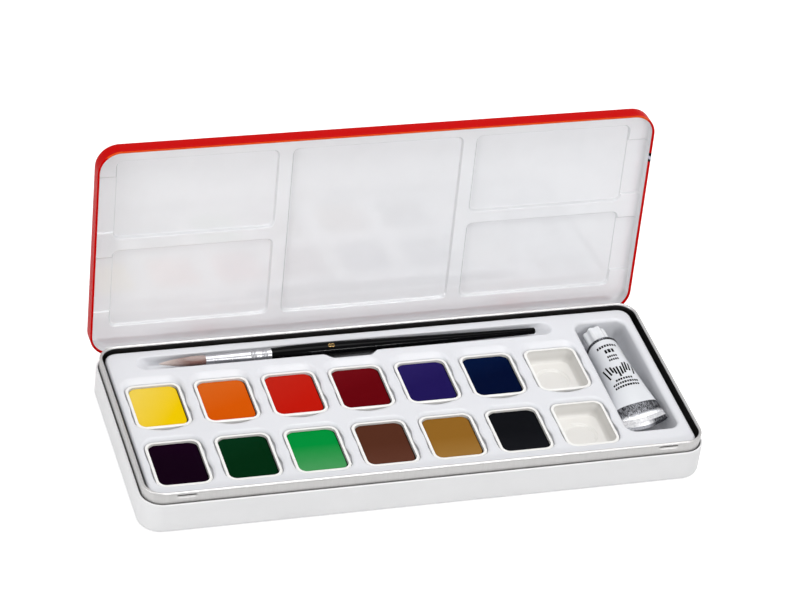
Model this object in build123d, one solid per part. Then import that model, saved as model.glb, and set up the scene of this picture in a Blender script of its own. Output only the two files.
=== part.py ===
from build123d import *
import os
from math import sqrt

# Gouache paint set box: a hinged tin with a lift-out tray that holds pans, a brush and a tube.
# Millimetres, +Z up. The origin is the centre of the tin's underside, +X runs along the front
# edge and +Y points to the hinge. The lid is drawn closed and swung open about its pins.

# ---- Tin base
box_length = 272.5          # outside, along the front edge
box_width = 111.8           # outside, front to hinge
box_corner = 11.0           # corner radius in plan
tin = 0.35                  # sheet of the base and the lid
floor_edge = 2.5            # rolled edge between floor and wall
shoulder_height = 16.7      # top of the painted wall
wall_hem = 1.0              # folded top of the wall, its width
wall_hem_height = 1.2

# ---- Bare neck that the lid closes over
shoulder_width = 1.3        # ledge between wall face and neck face
neck_height = 5.8           # above the shoulder
neck_tin = 0.3
neck_bead = 1.4             # diameter of the rolled top edge
neck_foot_gap = 0.1         # neck above the rounded floor edge
detent_length = 9.6         # pressed dimple in the front of the neck
detent_height = 1.9
detent_depth = 0.22
detent_drop = 2.4           # below the top of the neck
detent_x = 115.8

# ---- Lid
lid_overhang = 0.2          # lid outside the base, each side
lid_gap = 0.1               # rim above the shoulder
lid_depth = 8.6             # rim to outside of the panel
lid_edge = 1.8              # rounded edge between panel and skirt
lid_hem = 1.1               # folded rim, its width
lid_hem_height = 1.3
lid_open = 94.0             # swing from closed to its stop, degrees

# ---- Mixing palette pressed into the lid
palette_sheet = 0.3
palette_gap = 0.05          # palette to lid shell
palette_corner_roll = 2.2   # inside radius between palette and its wall
well_depth = 1.4            # mixing wells below the ridges
thumb_depth = 0.8           # shallow steps between the side wells and the wall
well_wall = 1.1             # width of a well's sloped wall
well_corner = 3.0
ridge = 6.0                 # bar between two wells
ridge_end = 9.2             # border at the left and right walls
ridge_free = 8.0            # border at the free edge
ridge_hinge = 12.0          # border at the hinge edge
centre_well_length = 84.3
thumb_length = 31.0
thumb_top = 8.2             # step's start below the top edge of its well
thumb_bottom = 3.4          # the same for the wells next to the hinge

# ---- Hinges
hinge_z = 13.2
hinge_x = 78.0              # centre of each hinge
pin_radius = 0.5
pin_clearance = 0.05
barrel_radius = 1.0
lid_knuckle = 10.0
base_knuckle = 6.0
knuckle_gap = 0.4

# ---- Lift-out tray
tray_length = 262.4
tray_width = 105.0
tray_corner = 6.0
tray_top = 19.9             # height of the lands
tray_sheet = 0.8
tray_edge = 1.5
tray_foot_gap = 0.1         # skirt above the tin floor
tab_bulge = 0.6             # two lifting tabs on the rear edge
tab_length = 13.0
tab_x = 69.0

# ---- Pans
column_count = 7
column_pitch = 32.75
first_column = -114.0
row_y = {"rear": 12.0, "front": -29.8}
pan_length = 32.0           # front to rear
pan_width = 26.4
pan_corner = 4.6
pan_rim = 1.35
pan_rim_height = 1.4
pan_rim_drop = 1.0          # rim below the lands
pan_cavity = 7.0            # depth below the rim
pan_draft = 1.35            # slope of the inner walls over that depth
pan_floor = 1.2
pan_lip = 0.35              # rim stands out over the outer wall
disc_radius = 8.0           # sunk disc in the pan floor
disc_depth = 0.3
disc_shift = 1.5            # disc towards the rear
paint_drop = 0.6            # cake below the rim
side_clearance = 0.8
end_clearance = 0.6
seat_gap = 0.1              # pan above the floor of its well
nub_reach = 0.55            # ribs that steady a pan at mid side
nub_radius = 3.0
scoop_height = 5.0          # finger scoops at the ends of a well
scoop_slope = 3.2           # how far a crescent narrows over its height
crescent_width = 23.0       # round scoop in front of a rear pan
crescent_reach = 4.4
ledge_reach = {"rear": 4.6, "front": 2.6}   # straight scoop behind each pan
ledge_share = 0.7           # share of its reach that slopes

# ---- Brush, lying along X
brush_tip_x = -107.0
brush_y = 42.6
brush_z = 18.7
hair_length = 22.6          # showing
hair_root = 5.0             # inside the ferrule
ferrule_length = 32.4
ferrule_wall = 0.3
ferrule_mouth_radius = 2.3
ferrule_heel_radius = 2.8
brush_fit = 0.05
tenon_length = 14.0
handle_length = 133.1
handle_radius = 3.6
handle_end_radius = 1.55
groove_y = 42.5
groove_width = 9.2
groove_start = -117.7
groove_end = 89.1
groove_draft = 0.7
lay_gap = 0.35              # brush and tube above the tray
notch_x = -14.0             # finger notch in front of the groove
notch_length = 20.0
notch_flare = 5.8
notch_y = 34.1

# ---- Tube
tube_x = 113.5
tube_y = 6.8                # middle of the tube, cap included
tube_z = 13.0
tube_yaw = 2.4              # degrees, cap end towards the pans
tube_roll = 11.0            # degrees, right side of the fold raised
tube_radius = 7.9
tube_wall = 0.25
tube_body_length = 58.0     # fold to shoulder
fold_length = 6.0
fold_width = 21.5
fold_thickness = 2.0
collar_height = 2.2
nozzle_radius = 3.6
nozzle_bore = 1.5
nozzle_length = 7.5
cap_length = 10.8
cap_radius = 6.1            # over the corners of its eight sides
cap_bore_gap = 0.2
recess_x = 114.0
recess_length = 83.6
recess_width = 25.7
recess_y = 2.3
recess_corner = 5.0
recess_draft = 1.2

# ---- Worked out from the values above
neck_length = box_length - 2 * shoulder_width
neck_width = box_width - 2 * shoulder_width
neck_corner = box_corner - shoulder_width
neck_top = shoulder_height + neck_height
lid_rim = shoulder_height + lid_gap
lid_top = lid_rim + lid_depth
lid_length = box_length + 2 * lid_overhang
lid_width = box_width + 2 * lid_overhang
lid_corner = box_corner + lid_overhang
hinge_y = box_width / 2
hinge_line = Axis((0, hinge_y, hinge_z), (1, 0, 0))
pan_top = tray_top - pan_rim_drop
pan_bottom = pan_top - pan_cavity - pan_floor
well_floor = pan_bottom - seat_gap
palette_top = lid_top - tin - palette_gap
ridge_level = palette_top - palette_sheet - well_depth
columns = [first_column + column_pitch * n for n in range(column_count)]

PAINTS = {
    "rear": ["yellow", "orange", "red", "carmine", "violet", "navy", "spare_rear"],
    "front": ["purple", "dark_green", "green", "brown", "ochre", "black", "spare_front"],
}


def block(length, width, corner, low, high, x=0.0, y=0.0):
    """Upright block with a rounded rectangle as its plan."""
    return Pos(x, y, low) * extrude(RectangleRounded(length, width, corner), high - low)


def flared(length, width, corner, low, high, grow, x=0.0, y=0.0):
    """Block whose plan grows by grow on every side from low to high."""
    foot = Pos(x, y, low) * RectangleRounded(length, width, corner)
    head = Pos(x, y, high) * RectangleRounded(length + 2 * grow, width + 2 * grow, corner + grow)
    return loft([foot, head])


def bottom_edges(shape):
    return shape.edges().group_by(Axis.Z)[0]


def top_edges(shape):
    return shape.edges().group_by(Axis.Z)[-1]


def rod(radius, length, x):
    """Rod along X on the hinge line, centred at x."""
    return Pos(x, hinge_y, hinge_z) * Rot(0, 90, 0) * Cylinder(radius, length)


def folded_ring(length, width, corner, thickness, low, high, round_low):
    """Folded edge of a sheet: a ring whose free edge is rounded."""
    ring = block(length, width, corner, low, high)
    ring -= block(length - 2 * thickness, width - 2 * thickness, corner - thickness, low - 1, high + 1)
    edges = bottom_edges(ring) if round_low else top_edges(ring)
    return fillet(edges, 0.45 * thickness)


def base_pan():
    """Painted tin pan with a folded top edge and two hinge seats in its rear wall."""
    top = shoulder_height - wall_hem_height
    outside = block(box_length, box_width, box_corner, 0, top)
    outside = fillet(bottom_edges(outside), floor_edge)
    inside = block(box_length - 2 * tin, box_width - 2 * tin, box_corner - tin, tin, top + 1)
    inside = fillet(bottom_edges(inside), floor_edge - tin)
    pan = outside - inside
    pan += folded_ring(box_length, box_width, box_corner, wall_hem, top, shoulder_height, False)
    seat = lid_knuckle + 2 * base_knuckle + 4 * knuckle_gap
    reach = 2 * wall_hem + knuckle_gap
    for x in (-hinge_x, hinge_x):
        rise = shoulder_height + 1 - hinge_z
        pan -= Pos(x, hinge_y, hinge_z + rise / 2) * Box(seat, reach, rise)
        drop = barrel_radius + knuckle_gap
        slot = lid_knuckle + 2 * knuckle_gap
        pan -= Pos(x, hinge_y, hinge_z - drop / 2) * Box(slot, reach, drop)
        offset = (lid_knuckle + base_knuckle) / 2 + knuckle_gap
        for side in (-offset, offset):
            pan += rod(barrel_radius, base_knuckle, x + side)
            pan -= rod(pin_radius + pin_clearance, base_knuckle + 0.2, x + side)
    return pan


def neck_band():
    """Bare tin band inside the base, with a rolled top edge and two pressed detents."""
    inner_roll = floor_edge - tin
    step_in = shoulder_width - tin
    foot = tin + inner_roll - sqrt(inner_roll ** 2 - (inner_roll - step_in) ** 2) + neck_foot_gap
    top = neck_top - neck_bead / 2
    band = block(neck_length, neck_width, neck_corner, foot, top)
    hole = block(neck_length - 2 * neck_tin, neck_width - 2 * neck_tin, neck_corner - neck_tin, 0, top + 1)
    band -= hole
    bead = block(neck_length, neck_width, neck_corner, neck_top - neck_bead, neck_top)
    bead -= block(neck_length - 2 * neck_bead, neck_width - 2 * neck_bead, neck_corner - neck_bead, 0,
                  neck_top + 1)
    bead = fillet(top_edges(bead), 0.46 * neck_bead)
    band += bead
    for x in (-detent_x, detent_x):
        pill = extrude(SlotOverall(detent_length, detent_height), 2 * detent_depth)
        place = Pos(x, -neck_width / 2 + detent_depth, neck_top - detent_drop) * Rot(90, 0, 0)
        band -= place * pill
    return band


def lid_shell():
    """Lid of painted tin, closed: panel, skirt with a folded rim and two hinge knuckles."""
    outside = block(lid_length, lid_width, lid_corner, lid_rim + lid_hem_height, lid_top)
    outside = fillet(top_edges(outside), lid_edge)
    inside = block(lid_length - 2 * tin, lid_width - 2 * tin, lid_corner - tin, lid_rim, lid_top - tin)
    inside = fillet(top_edges(inside), lid_edge - tin)
    shell = outside - inside
    rim_top = lid_rim + lid_hem_height
    shell += folded_ring(lid_length, lid_width, lid_corner, lid_hem, lid_rim, rim_top, True)
    for x in (-hinge_x, hinge_x):
        tab_y = lid_width / 2 - tin / 2
        tab_low = hinge_z + 0.5 * barrel_radius
        tab_high = lid_rim + 0.7 * lid_hem_height
        shell += Pos(x, tab_y, (tab_low + tab_high) / 2) * Box(lid_knuckle, tin, tab_high - tab_low)
        shell += rod(barrel_radius, lid_knuckle, x)
        shell -= rod(pin_radius + pin_clearance, lid_knuckle + 0.2, x)
    return shell


def palette_wells():
    """Plans of the mixing wells: length, width, centre x, centre y, in the closed lid."""
    inner_length = lid_length - 2 * (tin + palette_gap + palette_sheet)
    free_y = -lid_width / 2 + ridge_free + tin + palette_sheet
    hinge_edge = lid_width / 2 - ridge_hinge
    full = hinge_edge - free_y
    half = (full - ridge) / 2
    side_start = centre_well_length / 2 + ridge
    side = inner_length / 2 - ridge_end - side_start
    wells = [(centre_well_length, full, 0.0, (hinge_edge + free_y) / 2)]
    for sign in (-1, 1):
        x = sign * (side_start + side / 2)
        wells.append((side, half, x, free_y + half / 2))
        wells.append((side, half, x, hinge_edge - half / 2))
    return wells


def thumb_steps():
    """Plans of the shallow steps beside the four side wells."""
    wall = lid_length / 2 - tin - palette_gap - palette_sheet - palette_corner_roll / 2
    steps = []
    for side, half, x, y in palette_wells()[1:]:
        inner = abs(x) + side / 2 - well_wall
        drop = thumb_top if y < 0 else thumb_bottom
        sign = 1 if x > 0 else -1
        middle = y - half / 2 + drop + thumb_length / 2
        steps.append((wall - inner, thumb_length, sign * (inner + wall) / 2, middle))
    return steps


def lid_palette():
    """White pressed sheet inside the lid, closed: a wall, ridges, five wells, four steps."""
    cover = tin + palette_gap
    length = lid_length - 2 * cover
    width = lid_width - 2 * cover
    corner = lid_corner - cover
    low = lid_rim + lid_hem_height + palette_gap
    outside = block(length, width, corner, low, ridge_level + palette_sheet)
    outside = fillet(top_edges(outside), palette_corner_roll + palette_sheet)
    inside = block(length - 2 * palette_sheet, width - 2 * palette_sheet, corner - palette_sheet,
                   low - 1, ridge_level)
    inside = fillet(top_edges(inside), palette_corner_roll)
    for plans, depth, wall in ((palette_wells(), well_depth, well_wall), (thumb_steps(), thumb_depth, 0.5)):
        for long_side, short_side, x, y in plans:
            plan = (long_side - 2 * wall, short_side - 2 * wall, max(well_corner - wall, 0.5))
            grown = (plan[0] + 2 * palette_sheet, plan[1] + 2 * palette_sheet, plan[2] + palette_sheet)
            skin = ridge_level + palette_sheet
            outside += Pos(0, 0, 2 * skin + depth) * Rot(180, 0, 0) * flared(
                *grown, skin, skin + depth, wall, x, -y)
            inside += Pos(0, 0, 2 * ridge_level + depth) * Rot(180, 0, 0) * flared(
                *plan, ridge_level, ridge_level + depth, wall, x, -y)
    return outside - inside


def hinge_pin(x):
    return rod(pin_radius, lid_knuckle + 2 * base_knuckle + 2 * knuckle_gap, x)


def pan_places():
    for row, names in PAINTS.items():
        for x, name in zip(columns, names):
            yield row, name, x, row_y[row]


def crescent(x, sheet):
    """Round finger scoop in front of a rear pan: the part of a cone past the well's edge."""
    radius = (crescent_width ** 2 / 4 + crescent_reach ** 2) / (2 * crescent_reach)
    edge = row_y["rear"] - pan_length / 2 - end_clearance
    height = scoop_height + sheet
    middle = tray_top - height / 2
    cone = Pos(x, edge - crescent_reach + radius, middle) * Cone(
        radius - scoop_slope + sheet, radius + sheet, height)
    depth = 2 * (crescent_reach + sheet) + 2 * end_clearance
    return cone & (Pos(x, edge, middle) * Box(crescent_width + 2 * sheet, depth, height))


def ledge(row, x, sheet):
    """Straight finger scoop behind a pan, as wide as the well, with a sloped wall."""
    reach = ledge_reach[row]
    slope = ledge_share * reach
    edge = row_y[row] + pan_length / 2 + end_clearance
    length = pan_width + 2 * side_clearance + 2 * sheet - 2 * slope
    width = 2 * (reach + sheet - slope)
    corner = 0.45 * width
    return flared(length, width, corner, tray_top - scoop_height - sheet, tray_top, slope, x, edge)


def pan_well(x, y, sheet):
    """Well that takes one pan: sheet 0 is its inside, and tray_sheet its outside."""
    length = pan_width + 2 * side_clearance + 2 * sheet
    width = pan_length + 2 * end_clearance + 2 * sheet
    return flared(length - 2 * pan_draft, width - 2 * pan_draft, pan_corner, well_floor - sheet,
                  tray_top, pan_draft, x, y)


def brush_groove(sheet):
    """Trough for the brush, with the finger notch in front of it."""
    floor = brush_z - handle_radius - lay_gap - sheet
    length = groove_end - groove_start + 2 * sheet
    middle = (groove_end + groove_start) / 2
    width = groove_width + 2 * sheet
    foot = Pos(middle, groove_y, floor) * SlotOverall(length - 2 * groove_draft, width - 2 * groove_draft)
    head = Pos(middle, groove_y, tray_top) * SlotOverall(length, width)
    front = notch_y - sheet
    half = notch_length / 2 + sheet
    wide = half + notch_flare
    notch = Polyline((-half, front), (half, front), (wide, groove_y), (-wide, groove_y), close=True)
    return loft([foot, head]) + Pos(notch_x, 0, floor) * extrude(make_face(notch), tray_top - floor)


def tube_recess(sheet):
    """Recess for the tube."""
    floor = tube_z - tube_radius - lay_gap - sheet
    width = recess_width + 2 * sheet - 2 * recess_draft
    length = recess_length + 2 * sheet - 2 * recess_draft
    return flared(width, length, recess_corner, floor, tray_top, recess_draft, recess_x, recess_y)


def side_nubs(x, y):
    """Two upright ribs that steady a pan at the middle of its long sides."""
    ribs = []
    face = pan_width / 2 + side_clearance
    for side in (-1, 1):
        centre = x + side * (face - nub_reach + nub_radius)
        low = well_floor + pan_cavity / 2
        rib = Pos(centre, y, low) * Cylinder(nub_radius, tray_top - low - tray_edge / 2,
                                             align=(Align.CENTER, Align.CENTER, Align.MIN))
        slab = Pos(x + side * (face + (tray_sheet - nub_reach) / 2), y, low) * Box(
            tray_sheet + nub_reach, 2 * nub_radius, tray_top, align=(Align.CENTER, Align.CENTER, Align.MIN))
        ribs.append(rib & slab)
    return ribs


def insert_tray():
    """Vacuum-formed tray: a skirt and lands, with wells, groove and recess of one sheet."""
    foot = tin + tray_foot_gap
    outside = fillet(top_edges(block(tray_length, tray_width, tray_corner, foot, tray_top)), tray_edge)
    for x in (-tab_x, tab_x):
        y = tray_width / 2 - tab_length / 2 + tab_bulge
        tab = block(tab_length, tab_length, 1.2 * tray_edge, tray_top - 2 * tray_edge, tray_top, x, y)
        outside += fillet(top_edges(tab), tray_edge)
    inside = block(tray_length - 2 * tray_sheet, tray_width - 2 * tray_sheet, tray_corner - tray_sheet,
                   foot - 1, tray_top - tray_sheet)
    inside = fillet(top_edges(inside), tray_edge - tray_sheet)
    tray = outside - inside
    for sheet in (tray_sheet, 0.0):
        pockets = [pan_well(x, y, sheet) for row, name, x, y in pan_places()]
        pockets += [crescent(x, sheet) for x in columns]
        pockets += [ledge(row, x, sheet) for row in ledge_reach for x in columns]
        pockets += [brush_groove(sheet), tube_recess(sheet)]
        tray = tray + pockets if sheet else tray - pockets
    for row, name, x, y in pan_places():
        tray += side_nubs(x, y)
    return tray


def pan_cavity_block(x, y, high):
    """Inside of a pan from its floor up to high."""
    foot = pan_top - pan_cavity
    share = (high - foot) / pan_cavity
    length = pan_width - 2 * pan_rim - 2 * pan_draft
    width = pan_length - 2 * pan_rim - 2 * pan_draft
    corner = pan_corner - pan_rim - 0.5 * pan_draft
    return flared(length, width, corner, foot, high, pan_draft * share, x, y)


def floor_disc(x, y):
    low = pan_top - pan_cavity - disc_depth
    return Pos(x, y + disc_shift, low + disc_depth / 2) * Cylinder(disc_radius, disc_depth)


def pan_cup(x, y):
    """Plastic pan with a stiff rim, sloped inner walls and a sunk disc in its floor."""
    under = pan_top - pan_rim_height
    body = flared(pan_width - 2 * pan_lip - 2 * pan_draft, pan_length - 2 * pan_lip - 2 * pan_draft,
                  pan_corner - pan_lip - pan_draft / 2, pan_bottom, under, pan_draft, x, y)
    rim = block(pan_width, pan_length, pan_corner, under, pan_top, x, y)
    rim = fillet(top_edges(rim), 0.4)
    return body + rim - pan_cavity_block(x, y, pan_top + 0.01) - floor_disc(x, y)


def paint_cake(x, y):
    """Paint cast into a pan, down into the disc of its floor."""
    return pan_cavity_block(x, y, pan_top - paint_drop) + floor_disc(x, y)


def turned(points):
    """Solid of revolution about the brush's axis, from (distance from the tip, radius) points."""
    line = Polyline((points[0][0], 0), *points, (points[-1][0], 0), close=True)
    solid = revolve(make_face(line), Axis.X)
    return Pos(brush_tip_x, brush_y, brush_z) * solid


def brush_hair():
    """Round head of hair: a belly that draws to a point, and a root inside the ferrule."""
    end = hair_length
    root = ferrule_mouth_radius - ferrule_wall - brush_fit
    belly = ferrule_mouth_radius + 0.05
    edge = Spline((0, 0.12), (0.12 * end, 0.42 * belly), (0.4 * end, 0.84 * belly), (0.75 * end, belly),
                  (end - brush_fit, root))
    outline = edge + Polyline((end - brush_fit, root), (end + hair_root, root), (end + hair_root, 0), (0, 0),
                              (0, 0.12))
    return Pos(brush_tip_x, brush_y, brush_z) * revolve(make_face(outline), Axis.X)


def ferrule_points(inset):
    """Outline of the ferrule: a cone with two pairs of rolled rings near its heel."""
    start = hair_length
    heel = start + ferrule_length
    points = [(start, ferrule_mouth_radius - inset), (heel - 13, ferrule_heel_radius - inset)]
    for ring in (heel - 9.5, heel - 5.5):
        groove = 0.22
        points += [(ring - 0.9, ferrule_heel_radius - inset), (ring, ferrule_heel_radius - groove - inset),
                   (ring + 0.9, ferrule_heel_radius - inset)]
    points.append((heel, ferrule_heel_radius - inset))
    return points


def brush_ferrule():
    """Metal sleeve that holds the hair and the handle."""
    return turned(ferrule_points(0)) - turned(ferrule_points(ferrule_wall))


def brush_handle():
    """Lacquered handle with a belly near the ferrule and a tenon inside it."""
    start = hair_length + ferrule_length + brush_fit
    shoulder = ferrule_heel_radius
    tenon = ferrule_heel_radius - ferrule_wall - 0.22 - brush_fit
    end = start + handle_length - brush_fit
    edge = Spline((start, shoulder), (start + 0.13 * handle_length, handle_radius),
                  (start + 0.23 * handle_length, handle_radius), (start + 0.4 * handle_length, 3.1),
                  (start + 0.6 * handle_length, 2.45), (start + 0.8 * handle_length, 1.9),
                  (end - 1.0, handle_end_radius))
    outline = edge + Polyline((end - 1.0, handle_end_radius), (end, 0.6 * handle_end_radius), (end, 0),
                              (start - tenon_length, 0), (start - tenon_length, tenon), (start, tenon),
                              (start, shoulder))
    return Pos(brush_tip_x, brush_y, brush_z) * revolve(make_face(outline), Axis.X)


def tube_place():
    """Frame of the tube: its axis is local Y, from the fold at 0 to the cap."""
    half = (tube_body_length + collar_height + cap_length) / 2
    return Pos(tube_x, tube_y, tube_z) * Rot(0, 0, tube_yaw) * Rot(0, -tube_roll, 0) * Pos(0, -half, 0)


def across(y, shape):
    """Plan shape set upright across the tube's axis at y."""
    return Pos(0, y, 0) * Rot(90, 0, 0) * shape


def tube_skin(inset):
    """Tube from its flat fold to its round shoulder, smaller by inset."""
    sections = []
    for share, half_width, half_height in ((0.0, 0.5 * fold_width, 0.4 * fold_thickness),
                                           (0.34, 0.44 * fold_width, 0.66 * tube_radius),
                                           (0.67, 0.38 * fold_width, 0.94 * tube_radius),
                                           (1.0, tube_radius, tube_radius)):
        y = fold_length + share * (tube_body_length - fold_length)
        sections.append(across(y, Ellipse(half_width - inset, half_height - inset)))
    return loft(sections)


def tube_paint():
    return tube_place() * tube_skin(tube_wall)


def tube_body():
    """Aluminium tube: folded end, skin, shoulder cone and nozzle."""
    skin = tube_skin(0) - tube_skin(tube_wall)
    fold = extrude(across(fold_length, RectangleRounded(fold_width, fold_thickness, 0.45 * fold_thickness)),
                   fold_length)
    along = Rot(-90, 0, 0)
    collar = Pos(0, tube_body_length + collar_height / 2, 0) * along * Cone(
        tube_radius, nozzle_radius + 0.8, collar_height)
    nozzle = Pos(0, tube_body_length + (collar_height + nozzle_length) / 2, 0) * along * Cylinder(
        nozzle_radius, collar_height + nozzle_length)
    bore = Pos(0, tube_body_length + (collar_height + nozzle_length) / 2, 0) * along * Cylinder(
        nozzle_bore, collar_height + nozzle_length + 0.02)
    return tube_place() * (skin + fold + collar + nozzle - bore)


def tube_cap():
    """Screw cap with eight flat sides, closed at its end."""
    start = tube_body_length + collar_height + cap_bore_gap
    length = cap_length - cap_bore_gap
    along = Rot(-90, 0, 0)
    sides = Pos(0, start, 0) * along * extrude(RegularPolygon(cap_radius, 8, rotation=22.5), length)
    sides = chamfer(sides.edges().group_by(Axis.Y)[-1], 0.5)
    hollow = Pos(0, start + (nozzle_length + cap_bore_gap) / 2, 0) * along * Cylinder(
        nozzle_radius + cap_bore_gap, nozzle_length + cap_bore_gap)
    return tube_place() * (sides - hollow)


def swung_open(shape):
    return shape.rotate(hinge_line, -lid_open)


def build():
    nodes = {
        "base_pan": base_pan(),
        "neck_band": neck_band(),
        "insert_tray": insert_tray(),
        "lid_shell": swung_open(lid_shell()),
        "lid_palette": swung_open(lid_palette()),
        "hinge_pin_left": hinge_pin(-hinge_x),
        "hinge_pin_right": hinge_pin(hinge_x),
        "brush_hair": brush_hair(),
        "brush_ferrule": brush_ferrule(),
        "brush_handle": brush_handle(),
        "tube_body": tube_body(),
        "tube_paint": tube_paint(),
        "tube_cap": tube_cap(),
    }
    for row, name, x, y in pan_places():
        nodes["pan_" + name] = pan_cup(x, y)
        if not name.startswith("spare"):
            nodes["paint_" + name] = paint_cake(x, y)
    return nodes


os.makedirs("parts", exist_ok=True)
for node, shape in build().items():
    export_step(shape, "parts/" + node + ".step")
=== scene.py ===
from math import atan2, cos, hypot, pi, radians, sin

import bmesh
import bpy
import numpy as np
from bpy.props import FloatProperty, FloatVectorProperty, PointerProperty
from bpy.types import Operator, Panel, PropertyGroup
from mathutils import Euler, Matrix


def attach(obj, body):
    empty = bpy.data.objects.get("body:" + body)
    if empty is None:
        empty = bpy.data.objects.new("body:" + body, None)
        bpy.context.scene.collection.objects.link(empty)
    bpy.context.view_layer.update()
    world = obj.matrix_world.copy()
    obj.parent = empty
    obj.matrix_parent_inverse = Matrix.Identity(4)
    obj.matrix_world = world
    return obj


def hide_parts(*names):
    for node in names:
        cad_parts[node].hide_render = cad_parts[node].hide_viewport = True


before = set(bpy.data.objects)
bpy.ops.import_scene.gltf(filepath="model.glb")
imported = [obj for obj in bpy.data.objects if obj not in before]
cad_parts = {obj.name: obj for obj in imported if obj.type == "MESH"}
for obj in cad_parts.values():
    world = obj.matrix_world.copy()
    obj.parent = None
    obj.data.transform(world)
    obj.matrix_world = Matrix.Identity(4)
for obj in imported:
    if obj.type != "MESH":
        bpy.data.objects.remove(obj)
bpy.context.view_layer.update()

bl_info = {
    "name": "Gouache Paint Box",
    "version": (1, 0, 0),
    "blender": (4, 5, 0),
    "location": "View3D > Sidebar > Paint Box",
    "description": "Builds the surfaces and finishes of a hinged tin of gouache pans",
    "category": "Add Mesh",
}

MM = 0.001


def srgb(red, green, blue):
    """Linear colour of a display colour given in 0 to 255."""
    share = np.array([red, green, blue]) / 255
    linear = np.where(share <= 0.04045, share / 12.92, ((share + 0.055) / 1.055) ** 2.4)
    return tuple(float(value) for value in linear)


# ---- Sizes of the tin, in millimetres, as in the frame
BOX_HALF = np.array([136.25, 55.9])
BOX_CORNER = 11.0
TIN = 0.35
PANEL_INSET = 9.5
SHOULDER = 16.7
FLOOR_ROLL = 2.5
WALL_HEM = 1.0
WALL_HEM_HEIGHT = 1.2
NECK_INSET = 1.3
NECK_TOP = 22.5
NECK_FOOT = 0.75
NECK_BACK = 0.4
NECK_BEAD = 1.4
NECK_STEP = 0.18
DETENT_X = 115.8
DETENT_Z = NECK_TOP - 2.4
DETENT_HALF = np.array([4.8, 0.95])
DETENT_DEPTH = 0.3
LID_HALF = BOX_HALF + 0.2
LID_CORNER = BOX_CORNER + 0.2
LID_RIM = 16.8
LID_TOP = 25.4
LID_EDGE = 1.8
LID_HEM = 1.1
LID_HEM_HEIGHT = 1.3
LID_OPEN = 94.0
LID_BARS = (
    # foot, top and ink of the bars on the lid's right side
    (98.4, 103.3, srgb(4, 4, 8)), (99.8, 101.5, srgb(186, 184, 200)),
)
HINGE_Y = BOX_HALF[1]
HINGE_Z = 13.2
HINGE_X = 78.0
PIN_BORE = 0.55
BARREL = 1.0
LID_KNUCKLE = 10.0
BASE_KNUCKLE = 6.0
KNUCKLE_GAP = 0.4

# ---- Mixing palette
PALETTE_GAP = 0.4
PALETTE_SHEET = 0.3
PALETTE_HALF = LID_HALF - PALETTE_GAP - PALETTE_SHEET
PALETTE_CORNER = LID_CORNER - PALETTE_GAP - PALETTE_SHEET
PALETTE_ROLL = 2.2
RIDGE_LEVEL = 23.3
PALETTE_WALL_TOP = RIDGE_LEVEL - LID_RIM - LID_HEM_HEIGHT - 0.05
WELL_DEPTH = 1.4
WELL_WALL = 1.05
WELL_CORNER = 3.4
STEP_DEPTH = 0.8
STEP_WALL = 0.9
STEP_CORNER = 2.0
RIDGE = 6.0
RIDGE_END = 9.2
RIDGE_FREE = 8.0
RIDGE_HINGE = 12.0
CENTRE_WELL = 84.3
STEP_LENGTH = 31.0
STEP_TOP = 8.2
STEP_BOTTOM = 3.4

# ---- Tray
TRAY_HALF = np.array([131.9, 52.5])
TRAY_CORNER = 6.0
TRAY_TOP = 19.9
TRAY_EDGE = 1.5
TRAY_SHEET = 0.8
TRAY_FOOT = 0.45
TAB_X = 69.0
TAB_LENGTH = 13.0
TAB_BULGE = 0.6
COLUMNS = -114.0 + 32.75 * np.arange(7)
ROW_REAR = 12.0
ROW_FRONT = -29.8
WELL_HALF = np.array([13.65, 16.3])
WELL_ROUND = 5.6
WELL_LIP = 1.15
LIP_SPREAD = 1.75
LIP_LIMIT = 16.25
WELL_FLOOR = 10.6
PAN_DRAFT = 1.35
LEDGE_REACH = {ROW_REAR: 4.0, ROW_FRONT: 1.4}
LEDGE_DROP = 2.0
SHELF_DROP = 2.65
SHELF = 0.55
CRESCENT_WIDTH = 19.0
CRESCENT_REACH = 2.5
CRESCENT_DROP = 4.2
CRESCENT_SLOPE = 3.3
NUB_REACH = 0.34
WAVE_REACH = 0.62
MID_LAND = -9.7
REAR_LAND = 33.6
RIGHT_LAND = 98.8
GROOVE_Y = 42.5
GROOVE_ENDS = (-117.7, 89.1)
GROOVE_HALF_WIDTH = 4.6
GROOVE_FLOOR = 14.75
GROOVE_RAMP = 0.9
NOTCH_X = -14.0
NOTCH_HALF = 11.3
NOTCH_REACH = 3.5
NOTCH_EASE = 5.0
RECESS_PLACE = np.array([114.0, 2.3])
RECESS_HALF = np.array([12.85, 41.8])
RECESS_CORNER = 5.0
RECESS_FLOOR = 4.75

# ---- Pans
PAN_HALF = np.array([13.2, 16.0])
PAN_CORNER = 4.6
PAN_TOP = 18.9
PAN_BOTTOM = 10.7
PAN_RIM = 1.35
PAN_RIM_HEIGHT = 1.4
PAN_LIP = 0.35
PAN_CAVITY = 7.0
DISC_RADIUS = 7.3
DISC_SHIFT = (-0.8, 0.7)
PAINT_DROP = 0.75
PAINT_SHRINK = 0.5
REAR_PANS = ("yellow", "orange", "red", "carmine", "violet", "navy", "spare_rear")
FRONT_PANS = ("purple", "dark_green", "green", "brown", "ochre", "black", "spare_front")

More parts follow.
